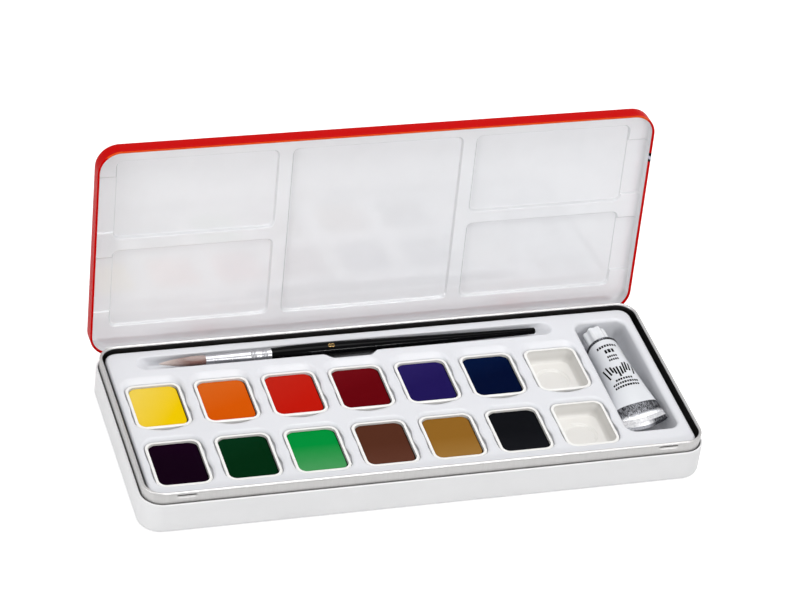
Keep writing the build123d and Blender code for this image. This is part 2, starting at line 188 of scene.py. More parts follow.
# ---- Brush and tube
BRUSH_PLACE = np.array([-107.0, 42.6, 18.7])
HAIR_LENGTH = 22.6
FERRULE_LENGTH = 32.4
FERRULE_MOUTH = 2.3
FERRULE_HEEL = 2.8
HANDLE_START = HAIR_LENGTH + FERRULE_LENGTH
HANDLE_LENGTH = 133.1
HANDLE_RADIUS = 3.6
HANDLE_END = 1.55
NUMBER_PLACE = 29.3
TUBE_PLACE = np.array([113.5, 6.8, 13.0])
TUBE_YAW = 2.4
TUBE_ROLL = 11.0
TUBE_TURN = np.array(Euler((0, 0, radians(TUBE_YAW))).to_matrix()
                     @ Euler((0, -radians(TUBE_ROLL), 0)).to_matrix())
TUBE_RADIUS = 7.9
TUBE_LENGTH = 58.0
FOLD_LENGTH = 5.5
FOLD_HALF_WIDTH = 10.75
FOLD_HALF_HEIGHT = 0.55
BARE_LENGTH = 13.5
BARE_RIM = 1.3
FOLD_BAND = 2.2
COLLAR_HEIGHT = 2.2
NOZZLE_RADIUS = 3.6
NOZZLE_BORE = 1.5
PRINT_SHEET = 0.03
PRINT_ROWS = (
    # place along the tube, height, half width, number of bars
    (51.8, 1.6, 5.4, 8), (47.2, 2.6, 2.6, 3), (44.0, 1.3, 2.6, 5), (41.6, 1.3, 2.6, 5), (28.4, 1.2, 3.8, 7),
    (26.2, 1.2, 5.8, 11), (24.0, 1.2, 5.4, 10),
)
CAP_LENGTH = 10.8
CAP_RADIUS = 6.1
TUBE_MIDDLE = np.array([0, (TUBE_LENGTH + COLLAR_HEIGHT + CAP_LENGTH) / 2, 0])


# ---- Meshes

def turns(start, end, count):
    """Even steps between two angles in degrees, in radians."""
    return np.radians(np.linspace(start, end, count))


def bends(start, end, count):
    """One less the sine and one less the cosine of even steps between two angles in degrees."""
    return [(1 - sin(angle), 1 - cos(angle)) for angle in turns(start, end, count)]


def smooth_step(value):
    """Ease from 0 to 1: three times the square less twice the cube."""
    value = np.clip(value, 0, 1)
    return value * value * (3 - 2 * value)


def level(loop, height):
    """Flat loop of points, lifted to a height."""
    return np.column_stack([loop, np.full(len(loop), height)])


def surface(points, closed=True, first=False, last=False):
    """Grid of points with quads between its rows; a flat face may close the first or last row."""
    rows, columns = points.shape[:2]
    row = np.arange(rows - 1)[:, None] * columns
    column = np.arange(columns if closed else columns - 1)[None, :]
    after = (column + 1) % columns
    quads = np.stack([row + column, row + after, row + columns + after, row + columns + column], -1)
    ends = [np.arange(columns)[::-1]] * first + [np.arange(columns) + (rows - 1) * columns] * last
    return points.reshape(-1, 3), quads.reshape(-1, 4), ends


def make_mesh(name, surfaces, outward=True):
    """One mesh in metres from several surfaces in millimetres, with doubles merged."""
    points, faces, start = [], [], 0
    for part, quads, ends in surfaces:
        points.append(part * MM)
        faces += (quads + start).tolist() + [(end + start).tolist() for end in ends]
        start += len(part)
    mesh = bpy.data.meshes.new(name)
    mesh.from_pydata(np.concatenate(points).tolist(), [], faces)
    edit = bmesh.new()
    edit.from_mesh(mesh)
    bmesh.ops.remove_doubles(edit, verts=edit.verts, dist=2e-6)
    bmesh.ops.dissolve_degenerate(edit, edges=edit.edges, dist=1e-7)
    if outward:
        bmesh.ops.recalc_face_normals(edit, faces=edit.faces)
    edit.to_mesh(mesh)
    edit.free()
    return mesh


def closed_mesh(name, rows):
    """Mesh of one grid of points, with a flat face over its first row and over its last."""
    return make_mesh(name, [surface(rows, first=True, last=True)])


def read_vectors(items, key):
    """A vector of every point or face of a mesh, as rows."""
    values = np.empty(len(items) * 3)
    items.foreach_get(key, values)
    return values.reshape(-1, 3)


def mark_bends(mesh, axis):
    """Stores how far each point's normal leans from an axis: one less the size of their dot product."""
    lean = 1 - np.abs(read_vectors(mesh.vertices, "normal") @ np.asarray(axis, float))
    mesh.attributes.new("bend", "FLOAT", "POINT").data.foreach_set("value", lean)
    return mesh


def put_in_scene(name, data):
    """New object in the scene, at the origin."""
    item = bpy.data.objects.new(name, data)
    bpy.context.scene.collection.objects.link(item)
    return item


def baked(item):
    """Mesh of an object as its modifiers leave it."""
    graph = bpy.context.evaluated_depsgraph_get()
    return bpy.data.meshes.new_from_object(item.evaluated_get(graph))


def add_piece(name, mesh, finish, body, nodes, crease=38.0, second=None):
    """Piece that rides on a body and stands for the given nodes; second is a finish and its faces."""
    piece = put_in_scene(name, mesh)
    mesh.materials.clear()
    mesh.materials.append(finish.material)
    if second:
        mesh.materials.append(second[0].material)
        mesh.polygons.foreach_set("material_index", second[1].astype(int))
    mesh.polygons.foreach_set("use_smooth", [True] * len(mesh.polygons))
    mesh.set_sharp_from_angle(angle=radians(crease))
    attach(piece, body)
    if nodes:
        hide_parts(*nodes)
    return piece


def thicken(piece, sheet):
    """Gives an open surface its sheet thickness, on the side away from its normals."""
    wall = piece.modifiers.new("Sheet", "SOLIDIFY")
    wall.thickness = sheet * MM
    wall.offset = -1.0
    wall.use_even_offset = False


def box_points(low, high):
    """Rings of four corners at the foot and at the top of a box."""
    low, high = np.array(low, float), np.array(high, float)
    ring = low[:2] + np.array([(0, 0), (1, 0), (1, 1), (0, 1)], float) * (high[:2] - low[:2])
    return np.array([level(ring, low[2]), level(ring, high[2])])


def cut_boxes(mesh, boxes):
    """Mesh less some boxes, each a low and a high corner in millimetres."""
    body = put_in_scene("cut_body", mesh)
    used = [body]
    for low, high in boxes:
        used.append(put_in_scene("cutter", closed_mesh("cutter", box_points(low, high))))
        step = body.modifiers.new("Seat", "BOOLEAN")
        step.operation, step.solver, step.object = "DIFFERENCE", "EXACT", used[-1]
    result = baked(body)
    for item in used:
        bpy.data.objects.remove(item)
    return result


def arc(centre, radius, start, end, count):
    """Points on a circle arc between two angles in degrees, both ends included."""
    angle = turns(start, end, count)
    return np.column_stack([centre[0] + radius * np.cos(angle), centre[1] + radius * np.sin(angle)])


def rounded_loop(half, corner, half_arc, across, along):
    """Loop round a rounded rectangle, anticlockwise from the middle of its front left corner.

    Each side is half a corner arc, a straight run of across (or along) steps more, and half an
    arc: a point is the arc's centre plus the corner radius times the direction of its angle.
    """
    core = half - corner
    turn = turns(0, 45, half_arc + 1)
    loop = []
    for side, count in enumerate((across, along, across, along)):
        outward = radians(side * 90 - 90)
        reach, depth = core[side % 2], core[1 - side % 2]
        middle = np.linspace(-reach, reach, count + 1)[1:-1]
        angles = np.concatenate([outward - turn[::-1], np.full(len(middle), outward), outward + turn])
        run = np.concatenate([np.full(half_arc + 1, -reach), middle, np.full(half_arc + 1, reach)])
        if count == 0 and reach < 1e-6:
            angles, run = np.delete(angles, half_arc), np.delete(run, half_arc)
        forward = np.array([-sin(outward), cos(outward)])
        points = run[:, None] * forward + depth * np.array([cos(outward), sin(outward)])
        loop.append((points + corner * np.column_stack([np.cos(angles), np.sin(angles)]))[:-1])
    return np.concatenate(loop)


def rim_loop(across, along):
    """Loop round a grid of places, anticlockwise from its front left corner."""
    grid = np.stack(np.meshgrid(across, along), -1)
    return np.concatenate([grid[0, :-1], grid[:-1, -1], grid[-1, :0:-1], grid[:0:-1, 0]])


def from_core(points, half, corner):
    """Nearest points of a rounded rectangle's core, and the ways from there to the points."""
    nearest = np.clip(points, corner - half, half - corner)
    return nearest, points - nearest


def carried(profile, half, corner, **steps):
    """Profile of (offset, height) points carried round a rounded rectangle.

    Each row is the rectangle grown by the offset, with its corner radius grown alike.
    """
    return np.array([level(rounded_loop(half + offset, corner + offset, **steps), height)
                     for offset, height in profile])


def turned(along, radius, place, count, strands=None):
    """Surface of revolution about X: the radius at each place along, swept round in count steps."""
    angle = np.linspace(0, 2 * pi, count, endpoint=False)[None, :]
    along, radius = np.asarray(along, float)[:, None], np.asarray(radius, float)[:, None]
    if strands:
        radius = radius * strands(along, angle)
    return about_y(radius, along, angle)[..., [1, 0, 2]] + place


def about_y(radius, along, angle):
    """Points about Y: a radius for each place along and each angle."""
    return np.stack(np.broadcast_arrays(radius * np.cos(angle), along, radius * np.sin(angle)), -1)


def swung(points, degrees):
    """Points turned about the hinge line: Y and Z mixed by the sine and cosine of an angle."""
    turn = radians(degrees)
    y, z = points[..., 1] - HINGE_Y, points[..., 2] - HINGE_Z
    return np.stack([points[..., 0], HINGE_Y + y * cos(turn) - z * sin(turn),
                     HINGE_Z + y * sin(turn) + z * cos(turn)], -1)


def knuckle_points(middle, length):
    """Hinge barrel along X: an outer and an inner circle carried between its ends."""
    ends = middle + np.array([-1, 1, 1, -1, -1]) * length / 2
    return turned(ends, [BARREL, BARREL, PIN_BORE, PIN_BORE, BARREL], (0, HINGE_Y, HINGE_Z), 24)


# ---- Materials

def wire(tree, socket, value):
    """Links a socket to another, or sets its value."""
    if isinstance(value, bpy.types.NodeSocket):
        tree.links.new(value, socket)
    else:
        socket.default_value = (*value[:3], 1.0) if socket.type == "RGBA" else value


def add_node(tree, kind, settings=None, **values):
    """New shader node, with its settings and the values or links of its sockets."""
    made = tree.nodes.new("ShaderNode" + kind)
    for key, value in (settings or {}).items():
        setattr(made, key, value)
    for key, value in values.items():
        wire(tree, made.inputs[key.replace("_", " ")], value)
    return made


def add_math(tree, operation, *values):
    """Math node on sockets or numbers."""
    made = add_node(tree, "Math", {"operation": operation})
    for socket, value in zip(made.inputs, values):
        wire(tree, socket, value)
    return made.outputs[0]


class Finish:
    """A procedural material: a Principled shader with a few textures on Object coordinates."""

    def __init__(self, name, colour, roughness, **values):
        self.material = bpy.data.materials.new(name)
        self.material.use_nodes = True
        self.tree = self.material.node_tree
        self.shader = self.tree.nodes["Principled BSDF"]
        self.colour = np.array(colour)
        self.set(Base_Color=self.colour, Roughness=roughness, **values)
        self.place = self.node("TexCoord").outputs["Object"]
        self.normal = None

    def set(self, **values):
        """Values or links of the shader's sockets."""
        for key, value in values.items():
            wire(self.tree, self.shader.inputs[key.replace("_", " ")], value)

    def node(self, kind, settings=None, **values):
        return add_node(self.tree, kind, settings, **values)

    def math(self, operation, *values):
        return add_math(self.tree, operation, *values)

    def axes(self, vector=None):
        """X, Y and Z of a vector, or of the place on the piece."""
        return self.node("SeparateXYZ", Vector=vector or self.place).outputs

    def stretched(self, scale, turn=(0, 0, 0), shift=(0, 0, 0)):
        """Object coordinates, shifted, turned and scaled."""
        scale = scale if isinstance(scale, tuple) else (scale,) * 3
        return self.node("Mapping", {"vector_type": "POINT"}, Vector=self.place, Scale=scale,
                         Rotation=turn, Location=shift).outputs[0]

    def noise(self, scale, detail=3.0, roughness=0.5):
        """Noise with scale cells to the metre along each axis, from 0 to 1."""
        return self.node("TexNoise", Vector=self.stretched(scale), Scale=1.0, Detail=detail,
                         Roughness=roughness).outputs["Fac"]

    def ranged(self, value, low, high, out_low=0.0, out_high=1.0):
        """Maps low to high onto out_low to out_high, clamped."""
        return self.node("MapRange", Value=value, From_Min=low, From_Max=high, To_Min=out_low,
                         To_Max=out_high).outputs[0]

    def blend(self, share, first, second):
        """Mixes two colours by a share."""
        mix = self.node("Mix", {"data_type": "RGBA"})
        for index, value in ((0, share), (6, first), (7, second)):
            wire(self.tree, mix.inputs[index], value)
        return mix.outputs[2]

    def within(self, value, low, high):
        """One where a value lies between low and high, else nought."""
        return self.math("COMPARE", value, (low + high) / 2, (high - low) / 2)

    def over(self, share, colour):
        """Lays a colour over the base colour by a share."""
        under = self.shader.inputs["Base Color"]
        under = under.links[0].from_socket if under.links else self.colour
        self.set(Base_Color=self.blend(share, under, colour))

    def paint_steep_shade(self, amount, start, end):
        """Painted shade: greys the steep places of a mesh that holds the bend attribute."""
        bend = self.node("Attribute", {"attribute_name": "bend"}).outputs["Fac"]
        self.over(self.ranged(bend, start, end, 0.0, amount), self.colour * 0.25)

    def shade(self, value, low, high, dark):
        """Base colour from dark times itself to itself, as a value goes from low to high."""
        self.set(Base_Color=self.blend(self.ranged(value, low, high), self.colour * dark, self.colour))

    def bump(self, height, distance):
        """Adds relief of a height in millimetres; several can follow one another."""
        under = {"Normal": self.normal} if self.normal else {}
        self.normal = self.node("Bump", Height=height, Distance=distance * MM, Strength=1.0,
                                **under).outputs[0]
        self.set(Normal=self.normal)

    def relief(self, scale, distance, detail=3.0):
        """Adds noise in relief."""
        self.bump(self.noise(scale, detail), distance)

    def rough(self, value, low, high):
        """Roughness between low and high by a value."""
        self.set(Roughness=self.ranged(value, 0.3, 0.7, low, high))


def enamel(name, colour, roughness, wave, peel, gloss=0.5):
    """Stove enamel on sheet metal: long waves of the sheet, fine orange peel, faint mottling."""
    coat = Finish(name, colour, roughness, Specular_IOR_Level=gloss)
    coat.relief(14, wave, 1.0)
    coat.relief(900, peel, 2.0)
    coat.shade(coat.noise(60, 4.0), 0.3, 0.6, 0.975)
    coat.rough(coat.noise(120, 4.0), roughness * 0.85, roughness * 1.2)
    return coat


def brushed_tin(name, colour, roughness, grain):
    """Bare drawn tinplate: fine upright grain in colour and roughness, and in relief if it has a depth."""
    metal = Finish(name, colour, roughness, Metallic=1.0)
    lines = metal.noise((1500, 1500, 70))
    if grain:
        metal.bump(lines, grain)
    metal.shade(lines, 0.3, 0.65, 0.95)
    metal.rough(lines, roughness * 0.95, roughness * 1.05)
    return metal


def moulded(name, colour, roughness, grain, painted_shade, start):
    """Thin moulded plastic: soft scatter below the surface, satin texture, and painted shade that greys it
    where it is steep.
    """
    plastic = Finish(name, colour, roughness, Subsurface_Weight=0.04, Subsurface_Radius=(0.6, 0.55, 0.5),
                     Subsurface_Scale=0.002)
    plastic.relief(1500, grain)
    plastic.rough(plastic.noise(200), roughness * 0.85, roughness * 1.15)
    plastic.shade(plastic.noise(45), 0.3, 0.6, 0.985)
    plastic.paint_steep_shade(painted_shade, start, 0.95)
    return plastic


def pressed_paint(name, colour, pale, fade_from, fade_to, place, top):
    """Dry gouache: grain, faint pits, a dusty film that thickens to one side, and painted shade that darkens
    it just below its top.
    """
    colour = np.array(colour)
    cake = Finish(name, colour, 0.5, Specular_IOR_Level=0.01)
    grain = cake.noise(2200, 4.0, 0.7)
    pits = cake.node("TexVoronoi", Vector=cake.stretched(420), Scale=1.0).outputs["Distance"]
    direction = np.array(fade_to) - np.array(fade_from)
    turn = -atan2(direction[1], direction[0])
    x, y = np.array(place) + np.array(fade_from)
    shift = (-(x * cos(turn) - y * sin(turn)) * MM, -(x * sin(turn) + y * cos(turn)) * MM, 0)
    along = cake.axes(cake.stretched(1, (0, 0, turn), shift))[0]
    film = cake.math("MULTIPLY", cake.ranged(along, 0.0, hypot(*direction) * MM),
                     cake.ranged(cake.noise(160), 0.2, 0.8, 0.8, 1.0))
    base = cake.blend(cake.ranged(grain, 0.35, 0.65), colour * 0.92, colour)
    cake.set(Base_Color=cake.blend(film, base, pale))
    # painted shade: all below the top, the ledge at the edge and the sides, goes near black
    cake.over(cake.ranged(cake.axes()[2], (top - 0.12) * MM, (top - 0.3) * MM), colour * 0.06)
    cake.bump(grain, 0.012)
    cake.bump(cake.ranged(pits, 0.0, 0.12), 0.02)
    cake.relief(90, 0.05, 2.0)
    cake.rough(grain, 0.42, 0.6)
    return cake


# ---- Settings

def length_property(name, description, default):
    return FloatProperty(name=name, description=description, default=default * MM, unit="LENGTH",
                         precision=5)


def colour_property(name, description, default):
    return FloatVectorProperty(name=name, description=description, default=default, size=3,
                               subtype="COLOR", min=0.0, max=1.0)


class TinSettings(PropertyGroup):
    base_colour: colour_property("Base", "Enamel of the base", srgb(232, 232, 233))
    lid_colour: colour_property("Lid", "Enamel of the lid's outside", srgb(193, 1, 0))
    palette_colour: colour_property("Palette", "Enamel of the mixing wells", srgb(240, 241, 244))
    tin_colour: colour_property("Tinplate", "Bare metal of the neck", srgb(208, 207, 206))
    well_depth: length_property("Well depth", "Depth of the mixing wells", WELL_DEPTH)


class TraySettings(PropertyGroup):
    tray_colour: colour_property("Tray", "Plastic of the tray", srgb(220, 221, 225))
    pan_colour: colour_property("Pans", "Plastic of the pans", srgb(228, 226, 222))
    paint_drop: length_property("Paint level", "Paint below the rim of its pan", PAINT_DROP)


class ToolSettings(PropertyGroup):
    hair_colour: colour_property("Hair", "Colour of the brush hair", srgb(114, 74, 65))
    handle_colour: colour_property("Handle", "Lacquer of the brush handle", srgb(6, 6, 8))
    tube_colour: colour_property("Tube", "Lacquer of the tube", srgb(218, 220, 224))


# ---- Tin: base, neck and lid

class PAINTBOX_OT_base(Operator):
    """Base pan: a wall profile with a rolled foot and a folded top, carried round the box"""
    bl_idname = "paintbox.base"
    bl_label = "Base pan"

    def execute(self, context):
        hem = WALL_HEM / 2
        step = SHOULDER - WALL_HEM_HEIGHT
        profile = np.concatenate([
            [(-PANEL_INSET, 0.0), (-FLOOR_ROLL - 0.3, 0.0)],
            arc((-FLOOR_ROLL, FLOOR_ROLL), FLOOR_ROLL, -90, 0, 9),
            [(0.0, 6.0), (0.0, 12.0), (0.0, SHOULDER - hem - 0.2)],
            arc((-hem, SHOULDER - hem), hem, 0, 180, 9),
            [(-WALL_HEM, step + 0.15), (-WALL_HEM + 0.12, step), (-TIN - 0.05, step),
             (-TIN, step - 0.15), (-TIN, FLOOR_ROLL + 0.2)],
            arc((-FLOOR_ROLL, FLOOR_ROLL), FLOOR_ROLL - TIN, 0, -90, 7),
            [(-PANEL_INSET, TIN)],
        ])
        rows = carried(profile, BOX_HALF, BOX_CORNER, half_arc=7, across=24, along=10)
        seat = LID_KNUCKLE / 2 + BASE_KNUCKLE + 2 * KNUCKLE_GAP
        slot = LID_KNUCKLE / 2 + KNUCKLE_GAP
        front, back = HINGE_Y - WALL_HEM - KNUCKLE_GAP, HINGE_Y + 2
        offset = (LID_KNUCKLE + BASE_KNUCKLE) / 2 + KNUCKLE_GAP
        boxes, barrels = [], []
        for x in (-HINGE_X, HINGE_X):
            boxes.append(((x - seat, front, HINGE_Z), (x + seat, back, SHOULDER + 1)))
            boxes.append(((x - slot, front, HINGE_Z - BARREL - KNUCKLE_GAP), (x + slot, back, HINGE_Z + 0.1)))
            barrels += [surface(knuckle_points(x + side * offset, BASE_KNUCKLE)) for side in (-1, 1)]
        shell = cut_boxes(closed_mesh("base", rows), boxes)
        edit = bmesh.new()
        edit.from_mesh(shell)
        edit.from_mesh(make_mesh("barrels", barrels))
        edit.to_mesh(shell)
        edit.free()
        coat = enamel("base_enamel", context.scene.paintbox_tin.base_colour, 0.34, wave=0.12, peel=0.006)
        add_piece("base_shell", shell, coat, "base", ["base_pan"])
        return {"FINISHED"}


class PAINTBOX_OT_neck(Operator):
    """Neck: a band with a rolled bead, and two pill-shaped detents pressed into its front"""
    bl_idname = "paintbox.neck"
    bl_label = "Neck band"

    def execute(self, context):
        half, corner, bead = BOX_HALF - NECK_INSET, BOX_CORNER - NECK_INSET, NECK_BEAD / 2
        fine = np.arange(DETENT_Z - 1.5, DETENT_Z + 1.15, 0.14)
        profile = np.concatenate([
            [(-NECK_BACK, NECK_FOOT), (-NECK_STEP, NECK_FOOT), (-NECK_STEP, SHOULDER - 1),
             (-NECK_STEP, DETENT_Z - 1.7)],
            [(-NECK_STEP, height) for height in fine],
            arc((-bead, NECK_TOP - bead), bead, -42, 262, 19),
            [(-NECK_BACK, height) for height in fine[::-1]],
            [(-NECK_BACK, DETENT_Z - 1.7), (-NECK_BACK, NECK_FOOT)],
        ])
        band = carried(profile, half, corner, half_arc=7, across=470, along=10)
        away = np.abs(np.abs(band[..., 0]) - DETENT_X) - DETENT_HALF[0] + DETENT_HALF[1]
        pill = np.hypot(np.maximum(away, 0), band[..., 2] - DETENT_Z)
        front = (band[..., 1] < -half[1] + 1.0) & (band[..., 2] < NECK_TOP - NECK_BEAD + 0.2)
        band[..., 1] += front * DETENT_DEPTH * smooth_step((DETENT_HALF[1] + 0.3 - pill) / 0.9)
        mesh = make_mesh("neck", [surface(band)])
        centres = read_vectors(mesh.polygons, "center") / MM
        outward = from_core(centres[:, :2], half, corner)[1] * read_vectors(mesh.polygons, "normal")[:, :2]
        # painted shade: the faces that look inward, below the bead, get the dark tin
        painted_shade = (outward.sum(1) < 0) & (centres[:, 2] < NECK_TOP - NECK_BEAD + 0.35)
        # painted shadow: a dark stroke along the upper edge of each detent on the front
        away = np.abs(np.abs(centres[:, 0]) - DETENT_X) - DETENT_HALF[0] + 0.9
        detent_shadow = np.hypot(np.maximum(away, 0), 2.2 * (centres[:, 2] - DETENT_Z - 0.45)) < 0.8
        painted_shade |= detent_shadow & (centres[:, 1] < -half[1] + 1.0)
        outside = brushed_tin("neck_tinplate", context.scene.paintbox_tin.tin_colour, 0.4, grain=0)
        # dark grey tin that carries the painted shade and the painted shadow
        inside = brushed_tin("neck_painted_shade", srgb(82, 80, 78), 0.45, grain=0.006)
        add_piece("neck_ring", mesh, outside, "base", ["neck_band"], second=(inside, painted_shade))
        return {"FINISHED"}


class PAINTBOX_OT_lid(Operator):
    """Lid: a panel with a rounded edge and a skirt with a rolled rim, swung open"""
    bl_idname = "paintbox.lid"
    bl_label = "Lid"

    def execute(self, context):
        hem = LID_HEM / 2
        step = LID_RIM + LID_HEM_HEIGHT
        profile = np.concatenate([
            [(-PANEL_INSET, LID_TOP - TIN)],
            arc((-LID_EDGE, LID_TOP - LID_EDGE), LID_EDGE - TIN, 90, 0, 7),
            [(-TIN, step + 0.2), (-TIN - 0.05, step), (-LID_HEM + 0.12, step),
             (-LID_HEM, step - 0.15), (-LID_HEM, LID_RIM + hem + 0.1)],
            arc((-hem, LID_RIM + hem), hem, 180, 360, 11),
            [(0.0, LID_RIM + hem + 0.3), (-0.06, step + 0.1), (-0.06, step + 0.4), (0.0, step + 0.9),
             (0.0, LID_TOP - LID_EDGE - 0.4)],
            arc((-LID_EDGE, LID_TOP - LID_EDGE), LID_EDGE, 0, 90, 9),
            [(-LID_EDGE - 0.5, LID_TOP), (-PANEL_INSET, LID_TOP)],
        ])
        skin = carried(profile, LID_HALF, LID_CORNER, half_arc=8, across=24, along=10)
        parts = [surface(swung(skin, -LID_OPEN), first=True, last=True)]
        for x in (-HINGE_X, HINGE_X):
            leaf = box_points((x - LID_KNUCKLE / 2, LID_HALF[1] - TIN, HINGE_Z + 0.5 * BARREL),
                              (x + LID_KNUCKLE / 2, LID_HALF[1] + 0.02, LID_RIM + 0.8 * LID_HEM_HEIGHT))
            parts += [surface(swung(knuckle_points(x, LID_KNUCKLE), -LID_OPEN)),
                      surface(swung(leaf, -LID_OPEN), first=True, last=True)]
        mesh = make_mesh("lid", parts)
        closed = swung(read_vectors(mesh.polygons, "center") / MM, LID_OPEN)
        away = from_core(closed[:, :2], LID_HALF, LID_CORNER)[1]
        # painted highlight: the inner part of the rolled rim at the free edge
        rim = np.hypot(*away.T) - LID_CORNER < -0.06 * LID_HEM
        rim &= (closed[:, 2] < LID_RIM + 0.8 * hem) & (closed[:, 1] < -LID_HALF[1] + 3)
        outside = enamel("lid_enamel", context.scene.paintbox_tin.lid_colour, 0.22, wave=0.1, peel=0.006,
                         gloss=0.03)
        x, _, z = outside.axes()
        side = outside.math("GREATER_THAN", x, (LID_HALF[0] - 1.3) * MM)
        for low, high, ink in LID_BARS:
            outside.over(outside.math("MULTIPLY", side, outside.within(z, low * MM, high * MM)), ink)
        # orange enamel for the painted highlight on the rim
        inside = enamel("lid_rim_painted_highlight", srgb(218, 78, 22), 0.3, wave=0.1, peel=0.006, gloss=0.05)
        add_piece("lid_cover", mesh, outside, "lid", ["lid_shell"], second=(inside, rim))
        return {"FINISHED"}


# ---- Mixing palette

def palette_rectangles():
    """Wells and steps as (middle x, middle y, half x, half y), measured on the closed lid."""
    free = -LID_HALF[1] + RIDGE_FREE + TIN + PALETTE_SHEET
    hinge = LID_HALF[1] - RIDGE_HINGE
    full = hinge - free
    side_half = (full - RIDGE) / 2
    start = CENTRE_WELL / 2 + RIDGE
    side = PALETTE_HALF[0] - RIDGE_END - start
    low, high = start + side - 2, PALETTE_HALF[0] + 3
    wells, steps = [(0.0, (hinge + free) / 2, CENTRE_WELL / 2, full / 2)], []
    for sign in (-1, 1):
        for y, drop in ((free + side_half / 2, STEP_TOP), (hinge - side_half / 2, STEP_BOTTOM)):
            wells.append((sign * (start + side / 2), y, side / 2, side_half / 2))
            steps.append((sign * (low + high) / 2, y - side_half / 2 + drop + STEP_LENGTH / 2,
                          (high - low) / 2, STEP_LENGTH / 2))
    return wells, steps


def sunk(x, y, rectangle, corner, wall):
    """Share of full depth: the distance inside a rounded rectangle, eased over a wall's width."""
    middle_x, middle_y, half_x, half_y = rectangle
    beyond_x = np.abs(x - middle_x) - half_x + corner
    beyond_y = np.abs(y - middle_y) - half_y + corner
    outside = np.hypot(np.maximum(beyond_x, 0), np.maximum(beyond_y, 0))
    inside = np.minimum(np.maximum(beyond_x, beyond_y), 0)
    return smooth_step((corner - outside - inside) / wall)


def palette_depth(x, y, well_depth):
    """Depth below the ridges: the deepest of the wells and the shallow steps."""
    wells, steps = palette_rectangles()
    depths = [well_depth * sunk(x, y, well, WELL_CORNER, WELL_WALL) for well in wells]
    depths += [STEP_DEPTH * sunk(x, y, step, STEP_CORNER, STEP_WALL) for step in steps]
    return np.max(depths, axis=0)


def graded(low, high, edges, coarse, fine):
    """Places between two ends, close together near each edge: equal shares of a summed density."""
    dense = np.linspace(low, high, 6000)
    density = np.full(len(dense), 1 / coarse)
    for edge in edges:
        away = dense - edge
        density += np.exp(-(away / 0.8) ** 2) / fine + np.exp(-(away / 2.6) ** 2) / (5 * fine)
    total = np.concatenate([[0], np.cumsum((density[1:] + density[:-1]) / 2 * np.diff(dense))])
    return np.interp(np.linspace(0, total[-1], int(np.ceil(total[-1])) + 1), total, dense)


class PAINTBOX_OT_palette(Operator):
    """Palette: ridges, wells and steps as a height over the lid, with a rolled wall round them"""
    bl_idname = "paintbox.palette"
    bl_label = "Mixing palette"

    def execute(self, context):
        well_depth = context.scene.paintbox_tin.well_depth / MM
        flat, corner = PALETTE_HALF - PALETTE_ROLL, PALETTE_CORNER - PALETTE_ROLL
        limit = flat - 0.34 * corner
        wells, steps = palette_rectangles()
        places = []
        for axis in (0, 1):
            edges = {round(rectangle[axis] + side * (rectangle[2 + axis] - 0.5 * WELL_WALL), 2)
                     for rectangle in wells + steps for side in (-1, 1)}
            edges = sorted(edge for edge in edges if abs(edge) < limit[axis] - 0.5)
            places.append(graded(-limit[axis], limit[axis], edges, coarse=4.0, fine=0.22))
        x, y = np.meshgrid(*places)
        nearest, away = from_core(rim_loop(*places), flat, corner)
        reach = np.hypot(*away.T)[:, None]
        rows = [(share, 0.0, 0.0) for share in (0.0, 0.3, 0.6, 0.85)]
        rows += [(1.0, PALETTE_ROLL * sin(angle), PALETTE_ROLL * (1 - cos(angle)))
                 for angle in turns(0, 86, 9)]
        rows += [(1.0, PALETTE_ROLL, PALETTE_WALL_TOP - 0.4), (1.0, PALETTE_ROLL - 0.02, PALETTE_WALL_TOP)]
        border = []
        for share, growth, rise in rows:
            ring = nearest + away / reach * (reach + share * (corner - reach) + growth)
            height = rise - palette_depth(*ring.T, well_depth) * (rise < PALETTE_ROLL)
            border.append(np.column_stack([ring, height]))
        middle = np.stack([x, y, -palette_depth(x, y, well_depth)], -1)
        parts = []
        for grid, closed in ((middle, False), (np.array(border)[::-1], True)):
            grid[..., 2] = RIDGE_LEVEL - grid[..., 2]
            parts.append(surface(swung(grid[:, ::-1], -LID_OPEN), closed))
        turn = radians(LID_OPEN)
        mesh = mark_bends(make_mesh("palette", parts, outward=False), (0, -sin(turn), -cos(turn)))
        coat = enamel("palette_enamel", context.scene.paintbox_tin.palette_colour, 0.08, wave=0.08,
                      peel=0.001, gloss=0.6)
        # painted shade: greys the steep walls of the wells and steps
        coat.paint_steep_shade(0.26, 0.03, 0.4)
        piece = add_piece("mixing_palette", mesh, coat, "lid", ["lid_palette"], crease=60)
        thicken(piece, PALETTE_SHEET)
        return {"FINISHED"}


# ---- Tray

HALF_ARC = 4
CELL_STEPS = 20
SIDE_STEPS = CELL_STEPS - 2 * HALF_ARC
PAN_STEPS = {"half_arc": HALF_ARC, "across": SIDE_STEPS, "along": SIDE_STEPS}
GROOVE_STEPS = {"half_arc": HALF_ARC, "across": 7 * CELL_STEPS - 2 * HALF_ARC, "along": 0}
RECESS_STEPS = {"half_arc": HALF_ARC, "across": SIDE_STEPS, "along": 2 * CELL_STEPS}
FLAT_HALF = TRAY_HALF - TRAY_EDGE
FLAT_CORNER = TRAY_CORNER - TRAY_EDGE
SHELF_ROWS = [
    # offset from the edge of the well, depth
    (0.0, 1.3), (0.0, 2.0), (-0.04, SHELF_DROP - 0.25), (-0.2, SHELF_DROP - 0.06),
    (-0.6 * SHELF, SHELF_DROP), (-SHELF, SHELF_DROP + 0.01), (-SHELF - 0.15, SHELF_DROP + 0.3),
    (-0.85, CRESCENT_DROP - 1.2), (-1.0, CRESCENT_DROP - 0.1), (-1.0, CRESCENT_DROP),
    (-1.1, CRESCENT_DROP + 1.2),
]


